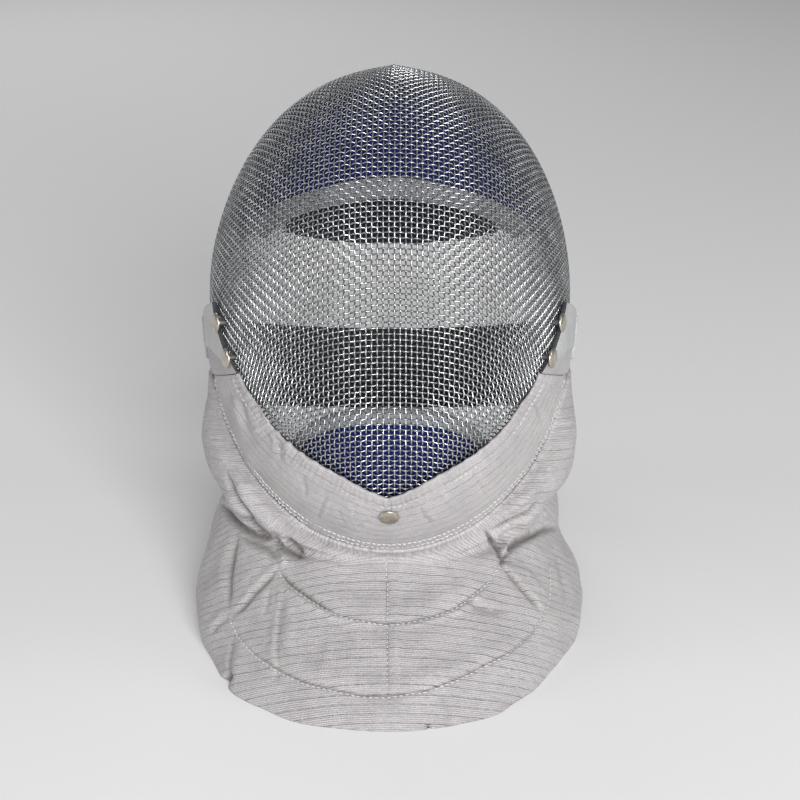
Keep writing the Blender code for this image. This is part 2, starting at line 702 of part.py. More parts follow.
def make_tab(side, way, look):
    """The grey tab that carries the strap's end, from the patch back past the rim."""
    b = np.linspace(TAB_LOW, TAB_HIGH, 3)
    grid_a, grid_b = np.meshgrid(np.array(TAB_ON_DOME + TAB_OFF_DOME), b, indexing="ij")
    last_on, first_off = TAB_ON_DOME[-1], TAB_OFF_DOME[0]
    share = np.clip((grid_a - last_on) / (first_off - last_on), 0.0, 1.0)
    turn = np.arcsin(np.clip((grid_a - STRAP_FRONT) / (STRAP_BACK - STRAP_FRONT), 0.0, 1.0))
    walls = []
    for lift in (TAB_SEAT + TAB_THICK, TAB_SEAT):
        on_side = dome_side(np.minimum(grid_a, last_on), grid_b, lift)
        over_strap = (STRAP_HALF_WIDTH + TAB_OVER_STRAP + lift - TAB_SEAT) * np.cos(turn)
        x = on_side + (over_strap - on_side) * share
        walls.append(standing(np.stack([x * way, grid_a, grid_b], -1)))
    layered(f"side_tab_{side}", walls[0], walls[1], look)


def make_patch(side, way, look, places):
    front_top, bearing_top, rear_top, bearing_rear_top = PATCH_TOP
    front_low, bearing_low, rear_low, bearing_rear_low = PATCH_BOTTOM
    down = np.linspace(0.0, 1.0, 7)[:, None]
    back = np.linspace(0.0, 1.0, 6)[None, :]
    spread = ((front_top * (1 - back) + rear_top * back) * (1 - down)
              + (front_low * (1 - back) + rear_low * back) * down)
    bearing = ((bearing_top * (1 - back) + bearing_rear_top * back) * (1 - down)
               + (bearing_low * (1 - back) + bearing_rear_low * back) * down)
    outer = standing(on_dome(spread, bearing * way, SEAT + PATCH_THICK))
    inner = standing(on_dome(spread, bearing * way, SEAT))
    body = layered(f"side_patch_{side}", outer, inner, look)
    bore(body, [place for place in places if place[0].startswith(side)])


def rivet_profile(top, inner_top):
    """Radius and height rows of a double-cap rivet, from its inner cap to its outer one."""
    return (
        (INNER_CAP_RADIUS * 0.6, inner_top - 0.0014), (INNER_CAP_RADIUS, inner_top - 0.0008),
        (INNER_CAP_RADIUS, inner_top), (POST_RADIUS, inner_top), (POST_RADIUS, top),
        (CAP_RADIUS, top), (CAP_RADIUS, top + 0.0005), (CAP_RADIUS * 0.72, top + CAP_RISE * 0.85),
        (CAP_RADIUS * 0.3, top + CAP_RISE),
    )


def make_rivets(look, places, inner_top):
    for name, spread, bearing, stack in places:
        foot, way = axis_at(spread, bearing)
        turned(name, rivet_profile(stack + GAP, inner_top), foot, way, look)


def main():
    clear_scene()
    wire = finish_of("painted steel wire", (0.42, 0.43, 0.44), 0.45, 0.8)
    nickel = finish_of("nickel", (0.62, 0.58, 0.52), 0.3, 1.0)
    vinyl = finish_of("grey vinyl", (0.42, 0.43, 0.45), 0.5)
    trim = finish_of("grey edging", (0.40, 0.43, 0.44), 0.5)
    conductive = finish_of("conductive cloth", (0.52, 0.51, 0.52), 0.6, 0.2)
    blue = finish_of("blue pad cloth", (0.02, 0.03, 0.18), 0.9)
    white = finish_of("white binding", (0.75, 0.76, 0.80), 0.9)
    dark = finish_of("dark pad cloth", (0.02, 0.02, 0.05), 0.9)
    elastic = finish_of("black elastic", (0.01, 0.01, 0.012), 0.9)
    spring_steel = finish_of("spring steel", (0.35, 0.35, 0.36), 0.4, 1.0)

    outside = rivet_places()
    tongue = tongue_rivet_places()
    make_face_mesh(wire, [*outside, *tongue])
    make_rim_trim(trim)
    make_band(conductive, [place for place in outside if place[0] == "chin_rivet"])
    make_bib(conductive)
    make_forehead(blue, white)
    make_chin(blue, white)
    make_tongue(dark, spring_steel, tongue)
    make_strap(elastic)
    for side, way in (("left", -1.0), ("right", 1.0)):
        make_patch(side, way, vinyl, outside)
        make_tab(side, way, vinyl)
    make_rivets(nickel, outside, -INNER_CAP_DEPTH)
    make_rivets(nickel, tongue, -SPRING_SEAT - SPRING_THICK - SPRING_CLEAR)


main()
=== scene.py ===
import math

import bpy
import numpy as np
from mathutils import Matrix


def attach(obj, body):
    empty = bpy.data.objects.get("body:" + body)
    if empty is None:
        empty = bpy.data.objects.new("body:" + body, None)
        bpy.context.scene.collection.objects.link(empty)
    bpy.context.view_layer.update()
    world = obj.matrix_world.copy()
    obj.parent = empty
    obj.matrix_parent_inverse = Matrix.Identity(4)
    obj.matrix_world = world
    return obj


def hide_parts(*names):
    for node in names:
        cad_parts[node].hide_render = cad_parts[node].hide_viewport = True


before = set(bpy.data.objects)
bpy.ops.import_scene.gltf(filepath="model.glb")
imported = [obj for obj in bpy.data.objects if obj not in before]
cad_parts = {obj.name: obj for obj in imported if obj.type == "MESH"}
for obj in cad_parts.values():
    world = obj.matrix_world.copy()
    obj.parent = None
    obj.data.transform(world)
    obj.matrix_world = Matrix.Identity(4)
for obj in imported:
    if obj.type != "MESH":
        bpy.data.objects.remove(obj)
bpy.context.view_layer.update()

RNG = np.random.default_rng(11)

# The mask's own shape, as in the solids (metres and degrees)
LEAN = 25.0
SLIDE = 0.01226
DOME_CENTRE = np.array([0.0, 0.022 + SLIDE, 0.158])
HALF_WIDTH = 0.097
PLAN_POWER = 2.1
SIDE_PROFILE = (
    (-80.0, 0.145), (-63.0, 0.153), (-47.0, 0.155), (-32.0, 0.150), (-16.0, 0.142),
    (0.0, 0.136), (16.0, 0.132), (33.0, 0.129), (50.0, 0.1275), (69.0, 0.124),
    (88.0, 0.1185), (109.0, 0.115), (132.0, 0.115), (155.0, 0.118), (180.0, 0.122),
    (215.0, 0.126), (245.0, 0.132),
)
CREASE_RISE = 0.003
CREASE_WIDTH = 0.014
CREASE_ANGLE = 75.0
CREASE_SPAN = 36.0
POLE_ANGLE = -12.0
POLE = math.radians(POLE_ANGLE)
POLE_AHEAD = np.array([0.0, -math.cos(POLE), math.sin(POLE)])
POLE_UP = np.array([0.0, math.sin(POLE), math.cos(POLE)])
NORMAL_STEP = 0.0005
RIM = (
    (0.0, 145.0), (30.0, 140.0), (60.0, 126.0), (80.0, 115.0), (95.0, 105.0),
    (110.0, 90.0), (125.0, 76.0), (140.0, 65.0), (160.0, 58.0), (180.0, 58.0),
)
SEAT = 0.0009
BAND_THICK = 0.0018
BAND_END_BEARING = 113.3
BAND_EDGES = (
    (113.3, 40.2, 63.4), (119.0, 38.6, 63.0), (125.0, 36.4, 61.8), (132.0, 35.2, 59.6),
    (140.0, 33.8, 56.8), (147.0, 32.8, 54.6), (155.0, 32.0, 53.2), (166.0, 32.2, 52.0),
    (172.0, 33.2, 51.8), (180.0, 34.8, 51.8),
)
BIB_THICK = 0.003
BIB_SWEEP = 150.0
BIB_TOP = (
    (0.0, 180.0, 52.0), (25.0, 164.0, 52.6), (50.0, 147.0, 55.2), (75.0, 131.0, 60.8),
    (96.0, 117.0, 64.8), (108.0, 113.8, 69.0), (130.0, 113.5, 78.0), (150.0, 113.5, 88.0),
)
BIB_RINGS = (
    (0.14, -0.0965, 0.0560, 0.0995, -0.022, 0.1010, 0.0950, 0.012, 0.0960),
    (0.28, -0.0955, 0.0530, 0.0975, -0.020, 0.0760, 0.0900, 0.026, 0.0760),
    (0.38, -0.0970, 0.0505, 0.0895, -0.018, 0.0600, 0.0850, 0.036, 0.0600),
    (0.48, -0.1040, 0.0455, 0.0920, -0.024, 0.0500, 0.0850, 0.044, 0.0480),
    (0.72, -0.1380, 0.0265, 0.1010, -0.040, 0.0240, 0.0870, 0.056, 0.0240),
    (0.94, -0.1700, 0.0050, 0.1035, -0.046, 0.0060, 0.0870, 0.062, 0.0060),
    (1.00, -0.1755, 0.0000, 0.1025, -0.046, 0.0000, 0.0860, 0.062, 0.0000),
)
BIB_FOLDS = (
    (-42.0, 13.0, 0.37, 0.050, -0.0085),
    (40.0, 12.0, 0.36, 0.045, -0.0070),
    (-66.0, 18.0, 0.40, 0.050, -0.0030),
    (66.0, 18.0, 0.40, 0.050, -0.0030),
    (-48.0, 10.0, 0.24, 0.060, 0.0030),
    (46.0, 10.0, 0.24, 0.060, 0.0025),
)
PAD_SEAT = 0.0066
CHIN_SEAT = 0.0068
PAD_THICK = 0.0110
PAD_GAP = 0.0006
PAD_CLEAR = 0.97
PAD_WAVE = 0.0004
TAPE_SQUARE = 0.55
FOREHEAD_REACH = 0.125
CHIN_REACH = 0.150
BINDING_WIDE = 0.0085
FOREHEAD_PAD = (
    (0.0, 31.0, 97.0), (17.0, 32.0, 97.0), (35.0, 35.5, 96.0), (46.0, 40.0, 95.0),
    (54.0, 44.2, 93.0), (64.0, 51.0, 90.0),
)
CHIN_PAD = (
    (0.0, -31.3, -67.0), (10.0, -32.0, -67.0), (18.0, -34.0, -66.0), (26.0, -37.6, -64.0),
    (31.0, -41.0, -61.0),
)
TONGUE_ARC = 0.080
TONGUE_ARC_BACK = 0.015
TONGUE_PAD_THICK = 0.0105
TONGUE_HALF_TURN = 46.0
TONGUE_PAD = ((0.0, 0.0385, 0.0715), (16.0, 0.0390, 0.0700), (32.0, 0.0402, 0.0650),
              (46.0, 0.0420, 0.0585))
STRAP_HALF_WIDTH = 0.0968
STRAP_FRONT = 0.018
STRAP_BACK = 0.110
STRAP_THICK = 0.0020
STRAP_LOW = -0.058
STRAP_HIGH = -0.012
STRAP_START = 10.0
TAB_THICK = 0.0022
TAB_SEAT = 0.0027
TAB_LOW = -0.037
TAB_HIGH = -0.015
TAB_FRONT = -0.006
TAB_LEAVES = 0.016
TAB_LANDS = 0.036
TAB_BACK = 0.052
TAB_OVER_STRAP = 0.0010
PATCH_THICK = 0.0026
PATCH_TOP = (54.0, 89.8, 83.0, 97.5)
PATCH_BOTTOM = (40.3, 113.05, 80.0, 113.1)
PATCH_ROWS = 44
PATCH_CLOTH_ROW = 36
PATCH_SLANT = 0.24
PATCH_SLANT_REACH = 0.45
PATCH_STEP = 0.0008
TRIM_LEG = 0.0060
TRIM_THICK = 0.0015
TRIM_SLACK = 0.0007
TRIM_END = 112.0
MESH_THICK = 0.002
CAP_RADIUS = 0.0050
CAP_RISE = 0.0016
INNER_CAP_RADIUS = 0.0040
POST_RADIUS = 0.0017
INNER_CAP_DEPTH = 0.0056
CAP_EDGE = 0.00045
INNER_CAP = ((0.0, 0.0014), (0.6, 0.0014), (0.9, 0.0011), (1.0, 0.0007), (1.0, 0.0001), (0.97, 0.0))
SPRING_SEAT = 0.0056
SPRING_THICK = 0.0016
SPRING_CLEAR = 0.0010
GAP = 0.0003
SIDE_RIVETS = (("upper", 48.6, 96.0), ("lower", 43.4, 107.6))
CHIN_RIVET_SPREAD = 38.9
TONGUE_RIVET_SPREAD = 121.0
TONGUE_RIVET_OUT = 0.0075

# The camera, fitted to the photograph: its distance and height angle from the dome's centre
CAMERA_AWAY = 1.150
CAMERA_UP = 19.0
CAMERA_OVER = 0.0054
CAMERA_DIP = 21.98
CAMERA_LENS = 95.2
CAMERA_SENSOR = 36.0
CAMERA_SPOT = np.array([
    CAMERA_OVER,
    DOME_CENTRE[1] - CAMERA_AWAY * math.cos(math.radians(CAMERA_UP)),
    DOME_CENTRE[2] + CAMERA_AWAY * math.sin(math.radians(CAMERA_UP)),
])
CAMERA_AHEAD = np.array([0.0, math.cos(math.radians(CAMERA_DIP)), -math.sin(math.radians(CAMERA_DIP))])
CAMERA_ABOVE = np.array([0.0, math.sin(math.radians(CAMERA_DIP)), math.cos(math.radians(CAMERA_DIP))])
PHOTO_SIDE = 800
CAMERA_PIXELS = CAMERA_LENS / CAMERA_SENSOR * PHOTO_SIDE

# Lights: place, height of the aim over the middle of the floor, size and power
LIGHTS = (
    ("key", (0.42, -1.86, 0.80), 0.12, 0.9, 41.0),
    ("fill", (-1.5, -0.9, 0.9), 0.12, 1.1, 1.5),
    ("back", (-0.5, 1.6, 0.95), 0.14, 1.0, 4.5),
    ("side_left", (-1.4, -0.25, 0.65), 0.18, 0.6, 3.2),
    ("side_right", (1.4, -0.25, 0.65), 0.18, 0.6, 3.2),
    ("top", (0.0, 0.0, 2.0), 0.1, 1.2, 2.6),
)

# The woven wires: pitch and wire size, and the own-frame angle and fall of the cross wire
# from which the weave starts
WIRE_PITCH = 0.00277
WIRE_RADIUS = 0.00044
WIRE_CRIMP = 0.00046
WIRE_SIDES = 5
WIRE_PARTS = 3
CRIMP_SHARE = 0.27
WEAVE_SHEAR = 0.25
WEAVE_MISS = 0.02
WEAVE_ANGLE = -20.0
WEAVE_FALL = 20.5
WIRES_ACROSS = 88
WIRES_UP = 130
WIRES_DOWN = 58

# How the crown has settled: the angle round the dome at which it is lowest, how far that reaches
# behind and in front, and where its crease fades
CROWN_DROP = 0.0054
CROWN_SHIFT = 0.0026
CROWN_ANGLE = 88.0
CROWN_SPANS = (14.0, 34.0)
CREASE_FADES = (62.0, 86.0)
CREASE_FADED = 0.95

# Cloth: the rounded edges of its walls, and marks that fade at their ends and on faces turned away
WALL_ROUNDING = 3
WALL_BULGE = 0.7
RUFFLE_WAVES = 14
MARKS_FADE_OFF = 0.16
MARK_ENDS = 0.22
# Depth at which a sunk mark gets its full painted shade in the cloth's colour
PAINTED_SHADE_DEPTH = 0.0032
SIDE_PANEL_FROM = 38.0
SIDE_PANEL_DOWN = 0.40
# Seams of the band: share of its width, half width and depth; then its rows of stitches, with
# their length, gap, thickness and slant
BAND_SEAMS = ((0.13, 0.022, 0.00035), (0.82, 0.02, 0.0004), (0.905, 0.02, 0.0004))
BAND_STITCHES = (
    (0.13, (0.0024, 0.0008, 0.00026, 0.0)),
    (0.85, (0.0021, 0.0005, 0.00031, 0.35)),
    (0.955, (0.0021, 0.0005, 0.00031, 0.35)),
)

# Marks pressed into the cloth where the photograph shows them: shape, half width in pixels,
# height in metres, or the strength of the painted shade along a line, then the line's pixels, over and
# down
BAND_MARKS = (
    ("groove", 2.4, -0.0011, 277, 436, 281, 447, 280, 459),
    ("groove", 2.9, 0.0011, 271, 432, 275, 443, 274, 454),
    ("groove", 2.9, 0.0009, 286, 442, 288, 452, 286, 462),
    ("groove", 2.6, -0.0014, 249, 388, 255, 403, 262, 420),
    ("groove", 2.9, 0.0013, 255, 388, 261, 402, 268, 417),
    ("groove", 2.6, -0.0011, 240, 398, 244, 414, 250, 430),
    ("groove", 3.3, 0.0011, 233, 392, 238, 412, 243, 430),
    ("groove", 2.2, 0.0009, 252, 432, 262, 426, 271, 424),
    ("groove", 2.2, -0.0009, 300, 474, 305, 484, 306, 496),
    ("groove", 2.6, 0.0007, 345, 500, 350, 510, 352, 522),
    ("groove", 2.4, -0.0007, 420, 506, 424, 516, 432, 524),
    ("groove", 2.6, 0.0007, 440, 492, 448, 502, 458, 508),
    ("groove", 1.8, -0.0007, 326, 496, 321, 508, 317, 520),
    ("groove", 1.8, 0.0005, 330, 498, 326, 509, 321, 521),
    ("groove", 2.0, -0.0005, 336, 508, 342, 518, 347, 528),
    ("groove", 2.0, -0.0005, 372, 521, 363, 523, 357, 527),
    ("groove", 2.4, -0.0007, 534, 400, 540, 412, 543, 424),
    ("groove", 2.9, -0.0005, 470, 470, 480, 484, 486, 496),
    ("groove", 1.8, -0.0005, 391, 502, 391, 510),
)
BIB_MARKS = (
    # the pinch beside the neck on the left, and the soft lobes that hang over it
    ("groove", 3.4, -0.0043, 226, 474, 231, 488, 238, 500, 246, 511, 252, 521, 257, 529, 265, 533, 274,
     536),
    ("groove", 3.4, -0.0046, 218, 502, 227, 512, 235, 521, 244, 528, 253, 533, 265, 537, 276, 540),
    ("groove", 5.5, 0.0026, 224, 494, 234, 508, 243, 518, 252, 526),
    ("groove", 7.5, 0.0035, 238, 478, 250, 498, 262, 514, 274, 526, 284, 533),
    ("crease", 3.0, -0.004, 273, 535, 279, 544, 288, 550, 299, 556, 305, 557),
    ("groove", 2.4, -0.003, 285, 538, 293, 545, 303, 554),
    ("groove", 3.6, 0.0029, 280, 547, 285, 556, 282, 563),
    ("groove", 3.0, 0.0014, 281, 534, 286, 547),
    ("groove", 4.5, -0.0017, 236, 535, 252, 541, 268, 548, 278, 562),
    # the pinch on the right
    ("groove", 3.4, -0.0041, 560, 526, 546, 529, 533, 534, 520, 540, 511, 546, 507, 554),
    ("crease", 2.6, -0.0026, 540, 498, 530, 511, 516, 519, 502, 526, 490, 531),
    ("groove", 6.0, 0.0026, 546, 508, 532, 519, 518, 528),
    ("groove", 4.5, 0.0023, 540, 482, 524, 498, 508, 512),
    ("groove", 3.2, 0.0023, 492, 534, 500, 543, 508, 551),
    ("crease", 2.4, -0.0032, 485, 530, 491, 540, 498, 550, 504, 559),
    ("crease", 2.4, -0.0029, 500, 566, 504, 557, 510, 552),
    ("crease", 2.2, -0.002, 496, 553, 503, 559, 512, 561),
    # the flap that falls from it to the outer seam
    ("step", 4.0, 0.0019, 503, 563, 516, 580, 530, 597, 543, 614),
    ("crease", 2.0, -0.0014, 501, 566, 514, 582, 528, 599, 541, 615),
    ("line", 1.3, 0.55, 280, 569, 285, 579, 292, 585, 300, 591, 313, 600, 333, 612),
    ("line", 1.5, 0.6, 228, 478, 232, 489, 239, 501, 247, 512, 253, 521, 258, 528),
    ("line", 1.6, 0.6, 222, 506, 229, 515, 237, 522, 246, 529, 256, 534, 270, 538),
    ("line", 1.8, 0.8, 272, 536, 279, 544, 288, 549, 298, 555, 303, 556),
    ("line", 1.6, 0.55, 288, 538, 294, 546, 302, 553),
    ("line", 1.5, 0.5, 486, 532, 493, 542, 500, 551, 505, 559),
    ("line", 1.6, 0.5, 545, 531, 532, 536, 519, 541, 510, 548, 506, 556),
    ("line", 1.4, 0.45, 502, 567, 515, 583, 529, 600, 541, 614),
    ("line", 1.3, 0.45, 277, 571, 266, 583, 255, 594, 243, 606, 231, 618),
    ("line", 1.3, 0.25, 237, 538, 233, 552, 231, 566, 230, 590, 229, 608),
    ("line", 1.2, 0.35, 282, 596, 280, 612, 279, 630, 278, 650, 276, 666),
    ("line", 1.2, 0.45, 388, 625, 388, 640, 388, 660, 388, 680, 388, 694),
    ("line", 1.2, 0.3, 387, 556, 387, 590, 387, 620),
    ("line", 1.2, 0.35, 333, 613, 353, 621, 384, 623, 400, 623, 431, 617, 457, 607, 476, 593, 490, 581),
    ("line", 1.2, 0.3, 237, 634, 255, 654, 278, 669, 302, 681, 333, 689, 364, 695, 388, 696, 431, 689,
     461, 677, 486, 664, 510, 652, 531, 634, 543, 617),
    # the inner seam, with its pleated ridge
    ("crease", 1.8, -0.0022, 278, 565, 284, 578, 291, 584, 298, 589, 312, 599, 332, 612),
    ("groove", 2.8, 0.0017, 277, 576, 285, 588, 299, 599, 315, 609, 334, 618, 356, 623, 382, 625),
    ("crease", 1.8, -0.0014, 331, 612, 353, 620, 384, 622, 400, 622, 431, 616, 457, 606, 476, 592, 490,
     580, 500, 562),
    ("groove", 2.6, 0.0013, 400, 626, 432, 621, 459, 611, 479, 597, 493, 584),
    ("groove", 12.0, 0.0014, 312, 585, 345, 604, 388, 610, 430, 604, 468, 580),
    ("crease", 1.8, -0.0012, 281, 568, 287, 579, 300, 590, 318, 602, 336, 613),
    # the outer seam
    ("crease", 1.8, -0.0016, 230, 618, 237, 634, 255, 654, 278, 669, 302, 681, 333, 689, 364, 695, 388,
     696, 431, 689, 461, 677, 486, 664, 510, 652, 531, 634, 543, 617, 549, 599, 550, 560),
    ("groove", 9.0, 0.0012, 250, 640, 280, 658, 310, 671, 350, 682, 388, 685, 430, 678, 470, 662, 505,
     642),
    ("crease", 1.6, -0.001, 387, 552, 387, 590, 387, 622, 387, 660, 387, 695),
    ("groove", 5.0, 0.0007, 396, 560, 396, 600, 396, 680),
    # folds that run down from the pinches
    ("crease", 2.4, -0.0023, 278, 569, 267, 581, 256, 592, 244, 605, 232, 617),
    ("groove", 3.6, 0.0012, 273, 567, 261, 580, 249, 593, 238, 605),
    ("groove", 12.0, 0.0014, 262, 560, 248, 575, 238, 592),
    ("crease", 3.6, -0.0021, 239, 532, 235, 546, 232, 562, 230, 584, 229, 608),
    ("groove", 6.0, 0.0013, 228, 540, 223, 562, 221, 588),
    ("groove", 3.4, 0.001, 281, 584, 277, 606, 274, 630, 273, 655, 274, 682),
    ("crease", 2.0, -0.0009, 285, 586, 282, 608, 280, 630, 279, 655, 278, 684),
    ("groove", 2.2, -0.001, 271, 588, 267, 600, 264, 614),
    ("groove", 5.0, 0.0007, 290, 600, 289, 630, 286, 652),
    ("crease", 2.0, -0.0016, 230, 616, 223, 621, 217, 627, 212, 634),
    ("groove", 3.2, 0.0012, 225, 612, 216, 620, 210, 628),
    ("crease", 1.8, -0.0012, 279, 671, 276, 677, 273, 683),
    ("groove", 2.6, -0.0012, 233, 637, 230, 655, 228, 674),
    ("groove", 4.0, 0.0008, 242, 638, 238, 660, 235, 680),
    ("groove", 4.0, -0.0032, 231, 671, 226, 680, 221, 689),
    ("groove", 2.0, -0.0023, 427, 722, 429, 728, 431, 734),
    ("groove", 4.0, -0.0012, 462, 598, 476, 606, 492, 611, 505, 610),
    ("groove", 4.0, 0.001, 470, 592, 484, 600, 500, 604),
    ("groove", 3.4, 0.001, 522, 566, 534, 584, 546, 596),
    ("groove", 3.0, -0.0009, 556, 552, 562, 580, 566, 604),
    ("groove", 4.0, 0.0009, 300, 560, 330, 565, 352, 570),
    ("groove", 5.0, -0.0007, 440, 560, 452, 572, 458, 590),
    ("groove", 5.0, 0.0007, 330, 640, 326, 660, 320, 676),
    ("groove", 6.0, -0.0007, 440, 690, 446, 704, 448, 722),
)
# Where the hem and sides lie a little off the solid: place, pixels over and towards the camera,
# and how wide and high the move reaches
BIB_MOVES = (
    (570, 528, -10.0, 0.0, 30.0, 24.0),
    (565, 672, -7.0, 0.0, 46.0, 46.0),
    (492, 724, 10.0, 0.0, 40.0, 16.0),
    (236, 700, -10.0, 6.0, 40.0, 26.0),
    (292, 724, -8.0, 6.0, 40.0, 16.0),
)
# The bib's seams, as lines of pixels over and down, each with the slant of its stitches
INNER_SEAM = ((279, 573), (290, 588), (313, 602), (332, 614), (353, 622), (384, 625), (400, 624),
              (431, 618), (457, 608), (476, 594), (490, 582), (502, 562))
OUTER_SEAM = ((230, 620), (237, 636), (255, 656), (278, 671), (302, 683), (333, 691), (364, 697),
              (388, 697), (431, 691), (461, 679), (486, 666), (510, 654), (531, 636), (544, 619),
              (550, 600), (551, 562))
MIDDLE_SEAM = ((387, 556), (387, 620), (387, 694))
BIB_SEAMS = ((INNER_SEAM, 0.2), (OUTER_SEAM, 0.2), (MIDDLE_SEAM, 0.0))


# Curves and the dome


def unit(way):
    return way / np.linalg.norm(way, axis=-1, keepdims=True)


def ease(value, low=0.0, high=1.0):
    """From 0 to 1 as the value goes from low to high, level at both ends."""
    t = np.clip((value - low) / (high - low), 0.0, 1.0)
    return t * t * (3 - 2 * t)


def cubic(t, h, start, steep, end, end_steep):
    """The smooth curve between two knots that are h apart, from their values and slopes."""
    return ((1 + 2 * t) * (1 - t) ** 2 * start + t * (1 - t) ** 2 * h * steep
            + t * t * (3 - 2 * t) * end + t * t * (t - 1) * h * end_steep)


def smooth(rows, column, at):
    """A smooth curve through one column of a table whose first column runs upward."""
    x, y = np.array([(row[0], row[column]) for row in rows]).T
    steep = np.gradient(y, x)
    at = np.clip(at, x[0], x[-1])
    i = np.clip(np.searchsorted(x, at, side="right") - 1, 0, len(x) - 2)
    h = x[i + 1] - x[i]
    return cubic((at - x[i]) / h, h, y[i], steep[i], y[i + 1], steep[i + 1])


ROUND_PROFILE = (tuple((angle - 360.0, reach) for angle, reach in SIDE_PROFILE[-3:]) + SIDE_PROFILE
                 + tuple((angle + 360.0, reach) for angle, reach in SIDE_PROFILE[:3]))


def dome_reach(way):
    """Distance of the dome from its centre along unit vectors in the mask's own frame."""
    flat = np.hypot(way[..., 1], way[..., 2])
    angle = np.degrees(np.arctan2(way[..., 2], -way[..., 1]))
    angle = (angle - SIDE_PROFILE[0][0]) % 360.0 + SIDE_PROFILE[0][0]
    profile = smooth(ROUND_PROFILE, 1, angle)
    share = (np.abs(way[..., 0]) / HALF_WIDTH) ** PLAN_POWER + (flat / profile) ** PLAN_POWER
    reach = share ** (-1.0 / PLAN_POWER)
    over_crown = np.exp(-((angle - CREASE_ANGLE) / CREASE_SPAN) ** 2)
    return reach + CREASE_RISE * over_crown * np.exp(-np.abs(way[..., 0]) * reach / CREASE_WIDTH)


def height_over_dome(spot):
    length = np.linalg.norm(spot, axis=-1)
    return length - dome_reach(spot / length[..., None])


def outward(spot):
    """Unit normals of the dome near the spots."""
    slope = [height_over_dome(spot + axis) - height_over_dome(spot - axis)
             for axis in np.eye(3) * NORMAL_STEP]
    return unit(np.stack(slope, axis=-1))


def lifted(way, lift=0.0):
    """The dome's own-frame points in those directions, lifted off it along its normal."""
    spot = way * dome_reach(way)[..., None]
    return spot + outward(spot) * np.asarray(lift)[..., None]


def on_dome(spread, bearing, lift=0.0):
    """Own-frame points on the dome, by the spread from its pole and the bearing round it."""
    spread, bearing = np.broadcast_arrays(np.radians(spread), np.radians(bearing))
    return lifted(np.cos(spread)[..., None] * POLE_AHEAD
                  + (np.sin(spread) * np.cos(bearing))[..., None] * POLE_UP
                  + (np.sin(spread) * np.sin(bearing))[..., None] * np.array([1.0, 0.0, 0.0]), lift)


def from_turn(angle, turn, lift):
    """Own-frame points on the dome, by the angle up and the turn from straight ahead."""
    turn, angle = np.broadcast_arrays(np.radians(turn), np.radians(angle))
    way = [np.sin(turn) * np.cos(angle), -np.cos(turn) * np.cos(angle), np.sin(angle)]
    return lifted(np.stack(way, -1), lift)


def polar(own):
    """Spread and bearing of own-frame points."""
    way = unit(own)
    spread = np.degrees(np.arccos(np.clip(way @ POLE_AHEAD, -1.0, 1.0)))
    return spread, np.degrees(np.arctan2(way[..., 0], way @ POLE_UP))


def turned_up(way):
    """Own-frame directions as the mask stands."""
    x, y, z = np.moveaxis(way, -1, 0)
    level, rise = math.cos(math.radians(LEAN)), math.sin(math.radians(LEAN))
    return np.stack([x, y * level + z * rise, z * level - y * rise], -1)


def standing(own):
    return turned_up(own) + DOME_CENTRE


def rim_spread(bearing):
    return smooth(RIM, 1, np.abs((np.asarray(bearing) + 180.0) % 360.0 - 180.0))


def bib_point(angle, down):
    """Outer face of the bib: angle round it (0 at the front), down from 0 at its top."""
    angle, down = np.broadcast_arrays(np.asarray(angle, float), np.asarray(down, float))
    turn = np.abs(angle)
    spots = [standing(on_dome(smooth(BIB_TOP, 2, turn), smooth(BIB_TOP, 1, turn), SEAT + BIB_THICK))]
    front = np.clip(turn / 90.0, 0.0, 1.0) * math.pi / 2
    rear = np.clip((turn - 90.0) / (BIB_SWEEP - 90.0), 0.0, 1.0) * math.pi / 2
    for _, front_y, front_z, side_x, side_y, side_z, rear_x, rear_y, rear_z in BIB_RINGS:
        x = side_x * np.sin(front) - (side_x - rear_x) * (1 - np.cos(rear))
        y = SLIDE + side_y - (side_y - front_y) * np.cos(front) + (rear_y - side_y) * np.sin(rear)
        z = front_z + (side_z - front_z) * np.sin(front) ** 2 + (rear_z - side_z) * np.sin(rear) ** 2
        spots.append(np.stack([x, y, z], axis=-1))
    spots = np.stack(spots)
    depths = np.array([0.0] + [row[0] for row in BIB_RINGS])
    steep = np.gradient(spots, depths, axis=0)
    i = np.clip(np.searchsorted(depths, down, side="right") - 1, 0, len(depths) - 2)
    h = (depths[i + 1] - depths[i])[..., None]
    knots = [np.take_along_axis(rows, at[None, ..., None], axis=0)[0]
             for at in (i, i + 1) for rows in (spots, steep)]
    out = cubic((down - depths[i])[..., None] / h, h, *knots)
    out[..., 0] *= np.sign(angle)
    return out


def bib_normal(angle, down):
    along = bib_point(angle + 1.0, down) - bib_point(angle - 1.0, down)
    across = (bib_point(angle, np.minimum(down + 0.01, 1.0))
              - bib_point(angle, np.maximum(down - 0.01, 0.0)))
    return unit(np.cross(across, along))


def settled(net):
    """Own-frame points after years of use: a lower crown, whose crease fades at the top."""
    angle = np.degrees(np.arctan2(net[..., 2], -net[..., 1]))
    behind = angle > CROWN_ANGLE
    crown = np.exp(-((angle - CROWN_ANGLE) / np.where(behind, *CROWN_SPANS)) ** 2)
    crease = np.exp(-((angle - CREASE_ANGLE) / CREASE_SPAN) ** 2 - np.abs(net[..., 0]) / CREASE_WIDTH)
    late = np.where(behind, crown, ease(angle, *CREASE_FADES))
    drop = CROWN_DROP * crown + CREASE_RISE * CREASE_FADED * crease * late
    low = net * (1.0 - drop / np.linalg.norm(net, axis=-1))[..., None]
    low[..., 0] += CROWN_SHIFT * crown
    return low


def on_crown(spread, bearing, lift=0.0):
    return settled(on_dome(spread, bearing, lift))


# Mesh making


def place(name, data, spot=(0, 0, 0), turn=(0, 0, 0)):
    """An object in the scene, with its place and turn."""
    thing = bpy.data.objects.new(name, data)
    bpy.context.collection.objects.link(thing)
    thing.location = spot
    thing.rotation_euler = turn
    return thing


